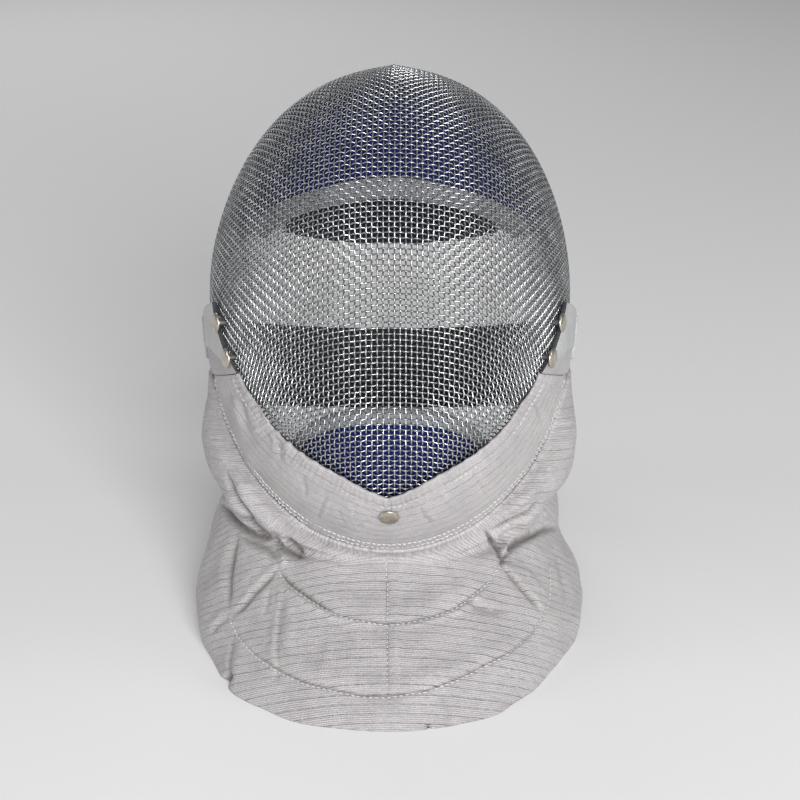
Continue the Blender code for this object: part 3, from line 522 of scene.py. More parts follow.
def set_map(piece, name, places):
    """A map of the piece, with a place for each corner of each face."""
    layer = piece.data.uv_layers.new(name=name)
    layer.data.foreach_set("uv", np.asarray(places, np.float32).ravel())


def add_mesh(name, node, spots, faces, looks, cloth=None):
    """A piece from points and arrays of faces; cloth gives each point its place on the cloth."""
    mesh = bpy.data.meshes.new(name)
    spots = np.asarray(spots, dtype=np.float32).reshape(-1, 3)
    corners = np.concatenate([rows.reshape(-1) for rows in faces]).astype(np.int32)
    sizes = np.concatenate([np.full(len(rows), rows.shape[1]) for rows in faces])
    mesh.vertices.add(len(spots))
    mesh.vertices.foreach_set("co", spots.ravel())
    mesh.loops.add(len(corners))
    mesh.loops.foreach_set("vertex_index", corners)
    mesh.polygons.add(len(sizes))
    mesh.polygons.foreach_set("loop_start", (np.cumsum(sizes) - sizes).astype(np.int32))
    mesh.update(calc_edges=True)
    for look in looks:
        mesh.materials.append(look)
    mesh.shade_smooth()
    piece = place(name, mesh)
    if cloth is not None:
        set_map(piece, "cloth", np.asarray(cloth).reshape(-1, 2)[corners])
    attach(piece, "root")
    if node:
        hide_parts(node)
    return piece


def grid_faces(rows, columns, closed=False, start=0):
    """Quads of a grid whose columns may close on themselves."""
    i = np.arange(rows - 1)[:, None] * columns + start
    j = np.arange(columns if closed else columns - 1)[None, :]
    k = (j + 1) % columns
    return np.stack([i + j, i + k, i + columns + k, i + columns + j], -1).reshape(-1, 4)


def tube(rings, start=0):
    """Quads and end faces of a bar through rings of points."""
    count, sides = rings.shape[:2]
    ends = np.stack([np.arange(sides), np.arange(sides)[::-1] + (count - 1) * sides])
    return [grid_faces(count, sides, True, start)[:, ::-1], ends + start]


def round_bar(points, side, top, radius, sides, start=0.0):
    """Rings round a row of points, in the plane of two unit vectors at each."""
    turn = 2 * math.pi * (np.arange(sides) + start) / sides
    return points[:, None] + radius * (np.cos(turn)[None, :, None] * side[:, None]
                                       + np.sin(turn)[None, :, None] * top[:, None])


def bundle(name, node, look, bars):
    """One piece from many bars, each of them rings of points."""
    starts = np.cumsum([0] + [rings.shape[0] * rings.shape[1] for rings in bars])
    parts = [tube(rings, start) for rings, start in zip(bars, starts)]
    spots = np.concatenate([rings.reshape(-1, 3) for rings in bars])
    return add_mesh(name, node, spots, [np.concatenate(rows) for rows in zip(*parts)], [look])


def turned_out(spots, faces):
    """A closed form's faces, turned right side out."""
    spots = spots - spots.mean(axis=0)
    volume = 0.0
    for rows in faces:
        for k in range(1, rows.shape[1] - 1):
            a, b, c = spots[rows[:, 0]], spots[rows[:, k]], spots[rows[:, k + 1]]
            volume += (a * np.cross(b, c)).sum()
    return [rows[:, ::-1] for rows in faces] if volume < 0 else faces


def closed(name, node, slot, rings, looks, cloth=None):
    """A closed bar through rings of matching points."""
    spots = rings.reshape(-1, 3)
    return add_mesh(name, node, spots, turned_out(spots, tube(rings)), looks, cloth)


def run_length(points):
    """Distance along a row of points, from 0."""
    steps = np.linalg.norm(np.diff(points, axis=0), axis=1)
    return np.concatenate([[0.0], np.cumsum(steps)])


def section_wall(outer, inner):
    """Rings round a cloth wall between two matching grids, with rounded long edges."""
    mid, half = (outer + inner) / 2, (outer - inner) / 2
    reach = np.linalg.norm(half, axis=-1, keepdims=True)
    before, after = unit(mid[:, 0] - mid[:, 1]), unit(mid[:, -1] - mid[:, -2])
    first, last = [], []
    for turn in np.linspace(0, math.pi, WALL_ROUNDING + 2)[1:-1]:
        bulge = math.sin(turn) * WALL_BULGE
        last.append(mid[:, -1] + half[:, -1] * math.cos(turn) + after * reach[:, -1] * bulge)
        first.append(mid[:, 0] - half[:, 0] * math.cos(turn) + before * reach[:, 0] * bulge)
    return np.concatenate([outer, np.stack(last, 1), inner[:, ::-1], np.stack(first, 1)], axis=1)


# Materials


class Value:
    """A number, place or colour inside a material, from which further nodes work."""

    def __init__(self, look, socket):
        self.look, self.socket = look, socket

    def maths(self, operation, *others):
        return self.look.node("Math", dict(enumerate((self, *others))), operation=operation)

    def __add__(self, other):
        return self.maths("ADD", other)

    def __sub__(self, other):
        return self.maths("SUBTRACT", other)

    def __rsub__(self, other):
        return self.look.node("Math", {0: other, 1: self}, operation="SUBTRACT")

    def __mul__(self, other):
        return self.maths("MULTIPLY", other)

    def scaled(self, factor, more):
        return self.maths("MULTIPLY_ADD", factor, more)

    def span(self, low, high, to_low=0.0, to_high=1.0):
        """The way from low to high, eased and put between the other two numbers."""
        return self.look.node("MapRange", {0: self, 1: low, 2: high, 3: to_low, 4: to_high},
                              interpolation_type="SMOOTHSTEP")

    def ripple(self, period):
        """A sine of that period, from 0 to 1."""
        return (self * (2 * math.pi / period)).maths("SINE").scaled(0.5, 0.5)

    def stretched(self, *scale):
        return self.look.node("Mapping", {"Vector": self, "Scale": scale})

    def noise(self, scale, detail=2.0, roughness=0.5):
        """Soft noise at this place, of one scale or of one across and one along."""
        where, size = (self.stretched(*scale, 1), 1.0) if isinstance(scale, tuple) else (self, scale)
        return self.look.node("TexNoise", {"Vector": where, "Scale": size, "Detail": detail,
                                           "Roughness": roughness})

    def between(self, one, two):
        """The colour at this share of the way from one to the other."""
        one, two = (shade if isinstance(shade, Value) else (*shade, 1) for shade in (one, two))
        return self.look.node("Mix", {0: self, 6: one, 7: two}, 2, data_type="RGBA")


class Look:
    """A material, built node by node."""

    def __init__(self, name, roughness, metallic=0.0, sheen=0.0, sheen_roughness=0.5):
        self.material = bpy.data.materials.new(name)
        self.material.use_nodes = True
        self.tree = self.material.node_tree
        self.shader = self.tree.nodes["Principled BSDF"].inputs
        self.shader["Roughness"].default_value = roughness
        self.shader["Metallic"].default_value = metallic
        self.shader["Sheen Weight"].default_value = sheen
        self.shader["Sheen Roughness"].default_value = sheen_roughness

    def node(self, kind, inputs, output=0, **settings):
        node = self.tree.nodes.new("ShaderNode" + kind)
        for key, value in settings.items():
            setattr(node, key, value)
        for key, value in inputs.items():
            if isinstance(value, Value):
                self.tree.links.new(value.socket, node.inputs[key])
            else:
                node.inputs[key].default_value = value
        return Value(self, node.outputs[output])

    def body(self):
        """Places on the object, in metres."""
        return self.node("TexCoord", {}, "Object")

    def cloth(self, name="cloth"):
        """Places on a map, and their two parts: metres across and along the cloth."""
        where = self.node("UVMap", {}, uv_map=name)
        across = self.node("SeparateXYZ", {0: where})
        return where, across, Value(self, across.socket.node.outputs[1])

    def done(self, base, height, distance, strength, roughness=None, **under):
        """The material with its colour, its relief and, if it varies, its roughness."""
        relief = {"Height": height, "Distance": distance, "Strength": strength, **under}
        links = {"Base Color": base, "Normal": self.node("Bump", relief), "Roughness": roughness}
        for key, value in links.items():
            if value is not None:
                self.tree.links.new(value.socket, self.shader[key])
        return self.material


def conductive_look(name="conductive_cloth", threads=0.72):
    """Silver-grey cloth woven with metal threads: fine ribs, and a dark thread every 5 mm."""
    look = Look(name, 0.55, 0.10, 0.12, 0.4)
    where, across, along = look.cloth()
    wander = where.noise((60, 25)).scaled(0.0009, along)
    dashes = (where.noise((420, 60)).span(0.34, 0.60)
              * where.noise((28, 40)).span(0.36, 0.56, 0.35, 1.0))
    dark = ((1.0 - wander.maths("PINGPONG", 0.0025).span(0.00008, 0.00036))
            * dashes.scaled(0.6, 0.4))
    ribs = wander.ripple(0.00105)
    grain = where.noise((1500, 1500))
    glints = where.noise((2600, 1300), 1.0).span(0.62, 0.74)
    uneven = where.noise((180, 900), 3.0).span(0.3, 0.7, 0.15, 0.75)
    # The second map gives painted shade for the creases and seam lines, and how well the dark threads
    # show
    _, painted_shade_share, seen = look.cloth("painted_shade")
    base = where.noise(45.0, 3.0).span(0.3, 0.7).between((0.51, 0.483, 0.492), (0.61, 0.582, 0.588))
    for share, shade in ((ribs * uneven, (0.30, 0.285, 0.29)),
                         (grain.span(0.4, 0.7) * 0.5, (0.30, 0.29, 0.29)),
                         (glints * 0.7, (0.86, 0.85, 0.84)),
                         (dark * threads * seen, (0.15, 0.135, 0.135)),
                         # painted shade in the creases and along the seam lines
                         (painted_shade_share * 0.8, (0.13, 0.115, 0.11))):
        base = share.between(base, shade)
    crumple = look.node("Bump", {"Height": where.noise((110, 70), 3.0, 0.55), "Distance": 0.0022,
                                 "Strength": 0.6})
    weave = ribs * -0.6 + across.ripple(0.0007) * 0.3 + grain * 0.9 - dark * 0.8
    return look.done(base, weave, 0.0004, 0.9, glints.span(0.0, 1.0, 0.60, 0.34), Normal=crumple)


def stitch_look():
    look = Look("stitch_thread", 0.6)
    shade = look.body().noise(1500.0, 1.0)
    colour = (0.74, 0.725, 0.72)
    base = shade.span(0.3, 0.7).between([part * 0.82 for part in colour], colour)
    return look.done(base, shade, 0.0001, 0.6)


def wire_look():
    """Round steel wire, galvanised, with brighter and duller lengths."""
    look = Look("woven_steel_wire", 0.25, 0.95)
    where = look.body()
    dull = where.noise(130.0, 4.0, 0.6).span(0.35, 0.68)
    base = dull.between((0.50, 0.51, 0.52), (0.31, 0.32, 0.33))
    return look.done(base, where.noise(700.0), 0.00003, 0.3, dull.span(0.0, 1.0, 0.20, 0.30))


def weave_look(name, low, high, period, depth, roughness=0.85, sheen=0.3):
    """Plain woven cloth from two crossing ripples on the cloth's own places."""
    look = Look(name, roughness, 0.0, sheen)
    where, across, along = look.cloth()
    over = across.ripple(period) * along.ripple(period)
    under = (across + period / 2).ripple(period) * (along + period / 2).ripple(period)
    weave = over.maths("MAXIMUM", under)
    hair = where.noise((2200, 2200))
    share = weave * 0.6 + hair * 0.25 + where.noise(60.0, 3.0).scaled(0.5, -0.2)
    return look.done(share.between(low, high), weave + hair * 0.4, depth, 0.9)


def elastic_look():
    """Black ribbed elastic."""
    look = Look("ribbed_elastic", 0.8, 0.0, 0.25)
    where, across, along = look.cloth()
    ribs = along.ripple(0.0017)
    hair = where.noise((1800, 1800))
    base = (ribs * 0.6 + hair * 0.4).between((0.006, 0.006, 0.007), (0.030, 0.030, 0.033))
    return look.done(base, ribs + (across.ripple(0.0011) + hair) * 0.3, 0.0004, 0.9)


def vinyl_look(name, low, high, roughness=0.42):
    """Leather-grained vinyl, darker in its grain and unevenly stained."""
    look = Look(name, roughness)
    where = look.body()
    grain = look.node("TexVoronoi", {"Vector": where, "Scale": 850.0}, "Distance",
                      feature="DISTANCE_TO_EDGE").span(0.0, 0.22)
    stain = where.noise(90.0, 4.0)
    base = stain.span(0.3, 0.7).between(low, high)
    base = (0.35 - grain * 0.35).between(base, [part * 0.45 for part in low])
    return look.done(base, grain + stain * 0.4, 0.00012, 0.7,
                     stain.span(0.3, 0.7, roughness - 0.07, roughness + 0.1))


def metal_look(name, low, high, roughness, brushed=(1, 1, 1)):
    """Plated or brushed metal with scratches and duller patches."""
    look = Look(name, roughness, 1.0)
    where = look.body()
    dull = where.noise(220.0, 4.0, 0.6).span(0.3, 0.7)
    lines = where.stretched(*brushed).noise(900.0, 3.0)
    return look.done(dull.between(low, high), lines, 0.00003, 0.6,
                     lines.scaled(0.12, dull.scaled(0.14, roughness - 0.05)))


# Wires and trim


def seat(spot):
    """Points brought onto the dome along its normal."""
    for _ in range(3):
        spot = spot - outward(spot) * height_over_dome(spot)[..., None]
    return spot


def weave_start():
    turn = math.radians(WEAVE_ANGLE)
    return lifted(np.array([[0.0, -math.cos(turn), math.sin(turn)]]))[0]


def centre_wire(count, sign):
    """The weave's middle wire up or down from its starting place, in the plane x = 0."""
    turn = math.radians(WEAVE_ANGLE)
    rows = [weave_start()]
    heading = np.array([0.0, math.sin(turn), math.cos(turn)]) * sign
    for _ in range(count):
        ahead = rows[-1] + heading * WIRE_PITCH
        for _ in range(4):
            ahead = seat(ahead[None])[0] * np.array([0.0, 1.0, 1.0])
            ahead = rows[-1] + unit(ahead - rows[-1]) * WIRE_PITCH
        heading = (ahead - rows[-1]) / WIRE_PITCH
        rows.append(ahead)
    return np.array(rows)


def cross_wire(count):
    """The cross wire from which the weave starts: the dome cut by a plane that falls back."""
    fall = math.radians(WEAVE_FALL)
    level = np.array([0.0, math.sin(fall), math.cos(fall)])
    rows = [weave_start()]
    heading = np.array([1.0, 0.0, 0.0])
    for _ in range(count):
        spot = rows[-1]
        ahead = spot + heading * WIRE_PITCH
        for _ in range(12):
            off = np.array([((ahead - spot) ** 2).sum() - WIRE_PITCH ** 2,
                            height_over_dome(ahead[None])[0] * WIRE_PITCH,
                            ((ahead - rows[0]) @ level) * WIRE_PITCH])
            normal = outward(ahead[None])[0]
            slopes = np.stack([2 * (ahead - spot), normal * WIRE_PITCH, level * WIRE_PITCH])
            ahead = ahead - np.linalg.solve(slopes, off)
        heading = (ahead - spot) / WIRE_PITCH
        rows.append(ahead)
    return np.array(rows)


def weave_quarter(first, cross):
    """Crossings of a woven net of even pitch laid over the dome from its two first wires."""
    net = np.full((len(cross), len(first), 3), np.nan)
    net[0] = first
    net[:, 0] = cross
    wide, high = net.shape[:2]
    for s in range(2, wide + high - 1):
        i = np.arange(max(1, s - high + 1), min(wide - 1, s - 1) + 1)
        j = s - i
        one, two, back = net[i - 1, j], net[i, j - 1], net[i - 1, j - 1]
        known = ~np.isnan(one + two + back).any(axis=1)
        if not known.any():
            break
        one, two, back = one[known], two[known], back[known]
        spot = seat(one + two - back)
        good = np.ones(len(spot), bool)
        for _ in range(6):
            off = np.stack([((spot - one) ** 2).sum(1) - WIRE_PITCH ** 2,
                            ((spot - two) ** 2).sum(1) - WIRE_PITCH ** 2,
                            height_over_dome(spot) * WIRE_PITCH], 1)
            slopes = np.stack([2 * (spot - one), 2 * (spot - two), outward(spot) * WIRE_PITCH], 1)
            good &= np.abs(np.linalg.det(slopes)) > WIRE_PITCH ** 3 * WEAVE_SHEAR
            slopes[~good] = np.eye(3)
            step = np.linalg.solve(slopes, off[..., None])[..., 0]
            step[~good] = 0.0
            length = np.linalg.norm(step, axis=1)
            spot = spot - step * np.minimum(1.0, WIRE_PITCH / np.maximum(length, 1e-12))[:, None]
        miss = sum(np.abs(np.linalg.norm(spot - end, axis=1) - WIRE_PITCH) for end in (one, two))
        good &= miss < WIRE_PITCH * WEAVE_MISS
        spot[~good] = np.nan
        net[i[known], j[known]] = spot
    return net


def weave_net():
    """Own-frame crossings (wires across, wires up) over both halves of the dome."""
    up, low, cross = centre_wire(WIRES_UP, 1), centre_wire(WIRES_DOWN, -1), cross_wire(WIRES_ACROSS)
    right = np.concatenate([weave_quarter(low, cross)[:, :0:-1], weave_quarter(up, cross)], axis=1)
    left = right[:0:-1] * np.array([-1.0, 1.0, 1.0])
    return np.concatenate([left, right])


def wire_rings(path, normal, lift):
    """Rings of a round wire along a row of crossings; lift is +1 or -1 at each crossing."""
    mid = path + normal * (lift * WIRE_CRIMP - MESH_THICK / 2)[:, None]
    heading = unit(np.gradient(path, axis=0)) * WIRE_PITCH * CRIMP_SHARE
    points = np.stack([mid - heading, mid + heading], 1).reshape(-1, 3)
    slope = unit(np.gradient(points, axis=0))
    side = unit(np.cross(slope, np.repeat(normal, 2, axis=0)))
    return round_bar(points, side, np.cross(side, slope), WIRE_RADIUS, WIRE_SIDES, 0.25)


def make_wires(look):
    """The woven wire dome, in pieces of under 200,000 triangles."""
    net = weave_net()
    filled = np.nan_to_num(net, nan=0.1)
    spread, bearing = polar(filled)
    inside = ~np.isnan(net[..., 0]) & (spread <= rim_spread(bearing))
    normal = outward(filled)
    filled = settled(filled)
    parity = np.where(np.indices(inside.shape).sum(axis=0) % 2 == 0, 1.0, -1.0)
    for name, sign in (("mesh_wires_upright", 1.0), ("mesh_wires_across", -1.0)):
        wires = []
        for row, path, out, lift in zip(inside, filled, normal, parity * sign):
            edges = np.flatnonzero(np.diff(np.concatenate([[0], row.astype(int), [0]])))
            wires += [standing(wire_rings(path[start:end], out[start:end], lift[start:end]))
                      for start, end in zip(edges[::2], edges[1::2]) if end - start >= 4]
        sizes = np.cumsum([len(rings) for rings in wires])
        for part in range(WIRE_PARTS):
            low, high = sizes[-1] * part / WIRE_PARTS, sizes[-1] * (part + 1) / WIRE_PARTS
            chosen = [rings for rings, size in zip(wires, sizes) if low < size <= high]
            bundle(f"{name}_{part + 1}", "face_mesh", look, chosen)
        # The wires the other way next
        inside, parity = inside.T, parity.T
        filled, normal = filled.swapaxes(0, 1), normal.swapaxes(0, 1)


def make_trim(look):
    """The soft channel over the rear edge of the mesh."""
    bearing = np.linspace(-TRIM_END, TRIM_END, 221)
    edge = rim_spread(bearing)
    reach = np.linalg.norm(on_dome(edge, bearing), axis=-1)
    t, leg, high, low = TRIM_THICK, TRIM_LEG, TRIM_SLACK, -MESH_THICK - TRIM_SLACK
    section = (
        (-leg, high), (GAP, high), (GAP, low), (-leg, low), (-leg, low - 0.35 * t),
        (-leg + 0.25 * t, low - 0.85 * t), (-leg + 0.8 * t, low - t), (-leg / 2, low - 0.9 * t),
        (GAP + 0.1 * t, low - t), (GAP + 0.65 * t, low - 0.75 * t), (GAP + t, low - 0.2 * t),
        (GAP + t, (low + high) / 2), (GAP + t, high + 0.2 * t), (GAP + 0.65 * t, high + 0.75 * t),
        (GAP + 0.1 * t, high + t), (-leg / 2, high + 0.9 * t), (-leg + 0.8 * t, high + t),
        (-leg + 0.25 * t, high + 0.85 * t), (-leg, high + 0.35 * t),
    )
    rings = np.stack([standing(on_dome(edge + np.degrees(off / reach), bearing, lift))
                      for off, lift in section], 1)
    closed("rim_edging", "rim_trim", "edging", rings, [look])


# Cloth


def add_painted_shade(piece, painted_shade, threads):
    """A second map: painted shade in the cloth's creases and along its seam lines, and how well its
    threads show.
    """
    corners = np.empty(len(piece.data.loops), dtype=np.int32)
    piece.data.loops.foreach_get("vertex_index", corners)
    set_map(piece, "painted_shade", np.stack([painted_shade.reshape(-1), threads.reshape(-1)], -1)[corners])


def grid_cloth(grid):
    """Places on the cloth from the lengths of a grid's middle lines, in metres."""
    rows, columns = grid.shape[:2]
    lengths = run_length(grid[:, columns // 2]), run_length(grid[rows // 2])
    return np.stack(np.meshgrid(*lengths, indexing="ij"), -1)


def make_wall(name, node, slot, outer, inner, look, cloth=None, painted_shade=None):
    """A cloth wall with rounded edges; its weave follows the outer grid, or the places given."""
    rings = section_wall(outer, inner)
    cloth = grid_cloth(outer) if cloth is None else cloth
    last, first = (np.repeat(edge, WALL_ROUNDING, axis=1) for edge in (cloth[:, -1:], cloth[:, :1]))
    cloth = np.concatenate([cloth, last, cloth[:, ::-1], first], axis=1)
    piece = closed(name, node, slot, rings, [look], cloth)
    # Painted shade for the creases and seam lines, on the outer face only
    if painted_shade is not None:
        around = np.zeros(rings.shape[:2])
        around[:, :painted_shade.shape[1]] = painted_shade
        add_painted_shade(piece, around, np.ones(around.shape))
    return piece


def seen_at(spots):
    """Pixels of the photograph at which points show."""
    off = spots - CAMERA_SPOT
    pixels = CAMERA_PIXELS / (off @ CAMERA_AHEAD)
    return np.stack([PHOTO_SIDE / 2 + off[..., 0] * pixels,
                     PHOTO_SIDE / 2 - (off @ CAMERA_ABOVE) * pixels], -1)


def along_line(shown, line):
    """Distance to a line, with a sign for its side, and the place along it and its length."""
    legs = np.diff(line, axis=0)
    ends = np.concatenate([[0.0], np.cumsum(np.hypot(*legs.T))])
    best, where, signed = np.full(len(shown), 1e9), np.zeros(len(shown)), np.zeros(len(shown))
    for k, leg in enumerate(legs):
        off = shown - line[k]
        t = np.clip(off @ leg / (leg @ leg), 0, 1)
        gap = off - t[:, None] * leg
        far = np.hypot(*gap.T)
        closer = far < best
        best = np.where(closer, far, best)
        where = np.where(closer, ends[k] + t * (ends[k + 1] - ends[k]), where)
        signed = np.where(closer, np.sign(leg[0] * gap[:, 1] - leg[1] * gap[:, 0]) * far, signed)
    return best, signed, where, ends[-1]


def bell(value, width):
    return np.exp(-(value / width) ** 2)


def pressed(spots, normal, marks):
    """Heights, and painted shade from 0 to 1 for the creases and dark lines, that the marks give the
    points of a cloth's outer face.
    """
    shown = seen_at(spots).reshape(-1, 2)
    facing = np.einsum("...i,...i->...", CAMERA_SPOT - spots, normal).reshape(-1)
    facing = np.clip(facing / MARKS_FADE_OFF, 0.0, 1.0)
    total, painted_shade = np.zeros(len(shown)), np.zeros(len(shown))
    for shape, width, height, *line in marks:
        line = np.array(line, float).reshape(-1, 2)
        low, high = line.min(0) - 4 * width, line.max(0) + 4 * width
        near = np.flatnonzero(((shown > low) & (shown < high)).all(1) & (facing > 0))
        if not len(near):
            continue
        best, signed, where, length = along_line(shown[near], line)
        fade = 0.25 + 0.75 * ease(np.minimum(where, length - where) / (MARK_ENDS * length))
        width = width * (0.55 + 0.45 * fade)
        fade = fade * facing[near]
        # A line mark only paints shade along itself
        if shape == "line":
            painted_shade[near] += height * fade * bell(best, width)
            continue
        if shape == "groove":
            value = bell(best, width)
        elif shape == "crease":
            value = np.exp(-best / (0.8 * width))
        else:
            value = np.where(signed < 0, bell(best, 2.8 * width), bell(best, 0.4 * width))
        total[near] += height * fade * value
        # Grooves and creases that sink get painted shade, fuller the deeper they are
        if height < 0:
            painted_shade[near] += min(1.0, -height / PAINTED_SHADE_DEPTH) * fade * bell(best, 0.6 * width)
    return total.reshape(spots.shape[:-1]), np.clip(painted_shade, 0, 1).reshape(spots.shape[:-1])


def ruffle(spots, size, height, seed):
    """Soft uneven waves of about that size over points, from a few sines."""
    random = np.random.default_rng(seed)
    total = np.zeros(spots.shape[:-1])
    for _ in range(RUFFLE_WAVES):
        way = random.normal(0, 1, 3)
        way *= 2 * math.pi / (size * random.uniform(0.6, 1.6)) / np.linalg.norm(way)
        total += np.sin(spots @ way + random.uniform(0, 6.28))
    return total * height / RUFFLE_WAVES ** 0.5


def band_edge(bearing, column):
    """Spread of the band's upper or lower edge; the upper one is a little puckered."""
    edge = smooth(BAND_EDGES, column, 180.0 - np.abs(180.0 - bearing))
    if column == 1:
        more = 0.35 + 0.65 * bell(bearing - 221.0, 9.0)
        edge = edge + more * (0.22 * np.sin(bearing * 1.15) + 0.13 * np.sin(bearing * 2.3 + 1.0))
    return edge


def band_lift(along, across):
    """How far the band's outer face stands off the dome: pillowed, sunk at its seams, puckered."""
    pillow = np.clip(np.sin(np.pi * np.clip((across - 0.10) / 0.78, 0, 1)), 0, 1) ** 0.5
    lift = SEAT + BAND_THICK * (0.86 + 0.26 * pillow)
    for seam, wide, depth in BAND_SEAMS:
        lift = lift - depth * bell(across - seam, wide)
    low = 0.00022 * np.sin(along * 260.0 + across * 3.0) * bell(across - 0.93, 0.12)
    high = 0.00028 * np.sin(along * 430.0 + 3.0 * np.sin(along * 47.0)) * bell(across - 0.08, 0.10)
    return lift + (low + high)


def make_band(look):
    bearing = np.linspace(BAND_END_BEARING, 360.0 - BAND_END_BEARING, 441)[::-1, None]
    upper, lower = band_edge(bearing, 1), band_edge(bearing, 2)
    across = np.linspace(0.0, 1.0, 37)
    spread = upper + (lower - upper) * across
    lift = band_lift(np.linspace(0.0, 1.0, len(bearing))[:, None], across)
    outer = standing(on_dome(spread, bearing, lift))
    normal = turned_up(outward(on_dome(spread, bearing)))
    # Heights of the marks, and the painted shade in their creases
    press, painted_shade = pressed(outer, normal, BAND_MARKS)
    press += ruffle(outer, 0.03, 0.00028, 5) + ruffle(outer, 0.013, 0.00016, 6)
    outer = outer + normal * press[..., None]
    inner = standing(on_dome(spread, bearing, SEAT))
    piece = make_wall("throat_band", "bib_band", "conductive_cloth", outer, inner, look, painted_shade=painted_shade)


def nudged(spots):
    """The bib's points moved level, by pixels seen from the camera, where its hem lies off."""
    pixel = (spots - CAMERA_SPOT) @ CAMERA_AHEAD / CAMERA_PIXELS
    shown = seen_at(spots)
    moved = spots.copy()
    for x, y, over, near, wide, high in BIB_MOVES:
        share = np.exp(-((shown[..., 0] - x) / wide) ** 2 - ((shown[..., 1] - y) / high) ** 2)
        moved[..., 0] += share * over * pixel
        moved[..., 1] -= share * near * pixel
    return moved


def bib_surface(angle, down):
    """The bib's outer face with folds, seams and creases, its normals and the painted shade of its
    creases.
    """
    spots, normal = nudged(bib_point(angle, down)), bib_normal(angle, down)
    press = sum(depth * np.exp(-((angle - at) / wide) ** 2 - ((down - depth_at) / depth_span) ** 2)
                for at, wide, depth_at, depth_span, depth in BIB_FOLDS)
    spots = spots + normal * press[..., None]
    press, painted_shade = pressed(spots, normal, BIB_MARKS)
    soft = np.clip(down / 0.1, 0, 1)
    press += soft * (ruffle(spots, 0.045, 0.0005, 3) + ruffle(spots, 0.017, 0.00022, 4))
    return spots + normal * press[..., None], normal, painted_shade


def bib_panels(angle, down):
    """Places on the two panels of cloth: the apron, and the sides above its fold."""
    x, y, z = np.moveaxis(bib_point(angle, down), -1, 0)
    y = y - SLIDE
    apron = np.stack([x, -0.82 * y - 0.57 * z + (0.5 - 40.0 * z) * x ** 2], -1)
    return apron, np.stack([angle * 0.0019, -0.9 * z - 0.3 * y], -1)


def edge_join(fine, coarse):
    """Triangles between a row of points and the row of every second one."""
    rows = zip(fine[::2], fine[1::2], fine[2::2], coarse, coarse[1:])
    return [row for a, m, b, c, d in rows for row in ((a, c, m), (c, d, m), (d, b, m))]


def make_bib(look):
    s = np.linspace(-1, 1, 381)
    angles = BIB_SWEEP * (0.55 * s + 0.45 * s ** 3)
    angle, down = np.meshgrid(angles, np.linspace(0.0, 1.0, 151) ** 0.92, indexing="ij")
    outer, _, painted_shade = bib_surface(angle, down)
    # The inner face has half as many rows of points; at the hem it lies level with the outer one
    under, normal, _ = bib_surface(angle[::2, ::2], down[::2, ::2])
    hem = down[::2, ::2] == 1.0
    normal[..., 2] *= ~hem
    inner = under - unit(normal) * BIB_THICK
    turn = np.abs(angles[::2])
    bearing = smooth(BIB_TOP, 1, turn) * np.where(angles[::2] < 0, -1, 1)
    inner[:, 0] = standing(on_dome(smooth(BIB_TOP, 2, turn), bearing, SEAT))
    for face in (outer, inner):
        face[..., 2] = np.maximum(face[..., 2], 0.0)
    start = outer[..., 0].size
    fine = np.arange(start).reshape(outer.shape[:2])
    coarse = np.arange(start, start + inner[..., 0].size).reshape(inner.shape[:2])
    rim, back = [], slice(None, None, -1)
    for edge in (0, (slice(None), -1), (-1, back), (back, 0)):
        rim += edge_join(fine[edge], coarse[edge])
    faces = [grid_faces(*fine.shape), grid_faces(*coarse.shape, False, start)[:, ::-1], np.array(rim)]
    spots = np.concatenate([outer.reshape(-1, 3), inner.reshape(-1, 3)])
    faces = turned_out(spots, faces)
    piece = add_mesh("padded_bib", "bib", spots, faces, [look])

    def both(grid, inside=1.0):
        """Values of the outer grid's points, then of the inner grid's."""
        wide = grid.shape[2:]
        return np.concatenate([grid.reshape(-1, *wide), grid[::2, ::2].reshape(-1, *wide) * inside])

    on_side = (np.abs(angle) > SIDE_PANEL_FROM) & (down < SIDE_PANEL_DOWN)
    apron, side = bib_panels(angle, down)
    corners = np.concatenate([rows.reshape(-1) for rows in faces])
    sewn = np.concatenate([np.repeat(both(on_side)[rows[:, 0]], rows.shape[1]) for rows in faces])
    set_map(piece, "cloth", np.where(sewn[:, None] > 0, both(side)[corners], both(apron)[corners]))
    threads = np.where(on_side, np.where(angle < 0, 0.15, 0.55), ease(down, 0.30, 0.42))
    # Painted shade on the outer face only; the inner face gets none
    add_painted_shade(piece, both(painted_shade, 0.0), both(threads))


# Stitches


def stitches(path, normal, length, gap, radius, slant=0.0):
    """Rings of small threads along a path, each arched and sunk at its ends."""
    along = run_length(path)
    out = []
    for k in range(int(along[-1] / (length + gap))):
        start = k * (length + gap) + gap / 2 + RNG.normal(0, gap * 0.06)
        at = start + length * np.array([0.0, 0.3, 0.7, 1.0])
        spot, up = (np.stack([np.interp(at, along, rows[:, i]) for i in range(3)], -1)
                    for rows in (path, normal))
        up = unit(up)
        side = unit(np.cross(unit(spot[-1] - spot[0]), up))
        tilt = slant + RNG.normal(0, 0.05)
        spot = spot + side * (np.array([-0.5, -0.2, 0.2, 0.5]) * length * tilt)[:, None]
        spot = spot + up * (radius * np.array([-1.2, 0.35, 0.35, -1.2]))[:, None]
        out.append(round_bar(spot, side, up, radius, 5))
    return out


def bib_line(line):
    """Points and normals on the bib along a line in pixels of the photograph."""
    line = np.array(line, float)
    along = np.concatenate([[0.0], np.cumsum(np.hypot(*np.diff(line, axis=0).T))])
    at = np.arange(0.0, along[-1], 2.0)
    wanted = np.stack([np.interp(at, along, line[:, k]) for k in range(2)], -1)
    angle, down = np.meshgrid(np.linspace(-70, 70, 281), np.linspace(0.3, 1.0, 141), indexing="ij")
    shown = seen_at(bib_point(angle, down))
    pick = [np.hypot(*(shown - spot).T).T.argmin() for spot in wanted]
    found = [angle.ravel()[pick], down.ravel()[pick]]
    for _ in range(2):
        found = [np.convolve(np.pad(row, 2, mode="reflect", reflect_type="odd"), np.ones(5) / 5,
                             "valid") for row in found]
    spots, normal, _ = bib_surface(found[0][:, None], found[1][:, None])
    return spots[:, 0], normal[:, 0]


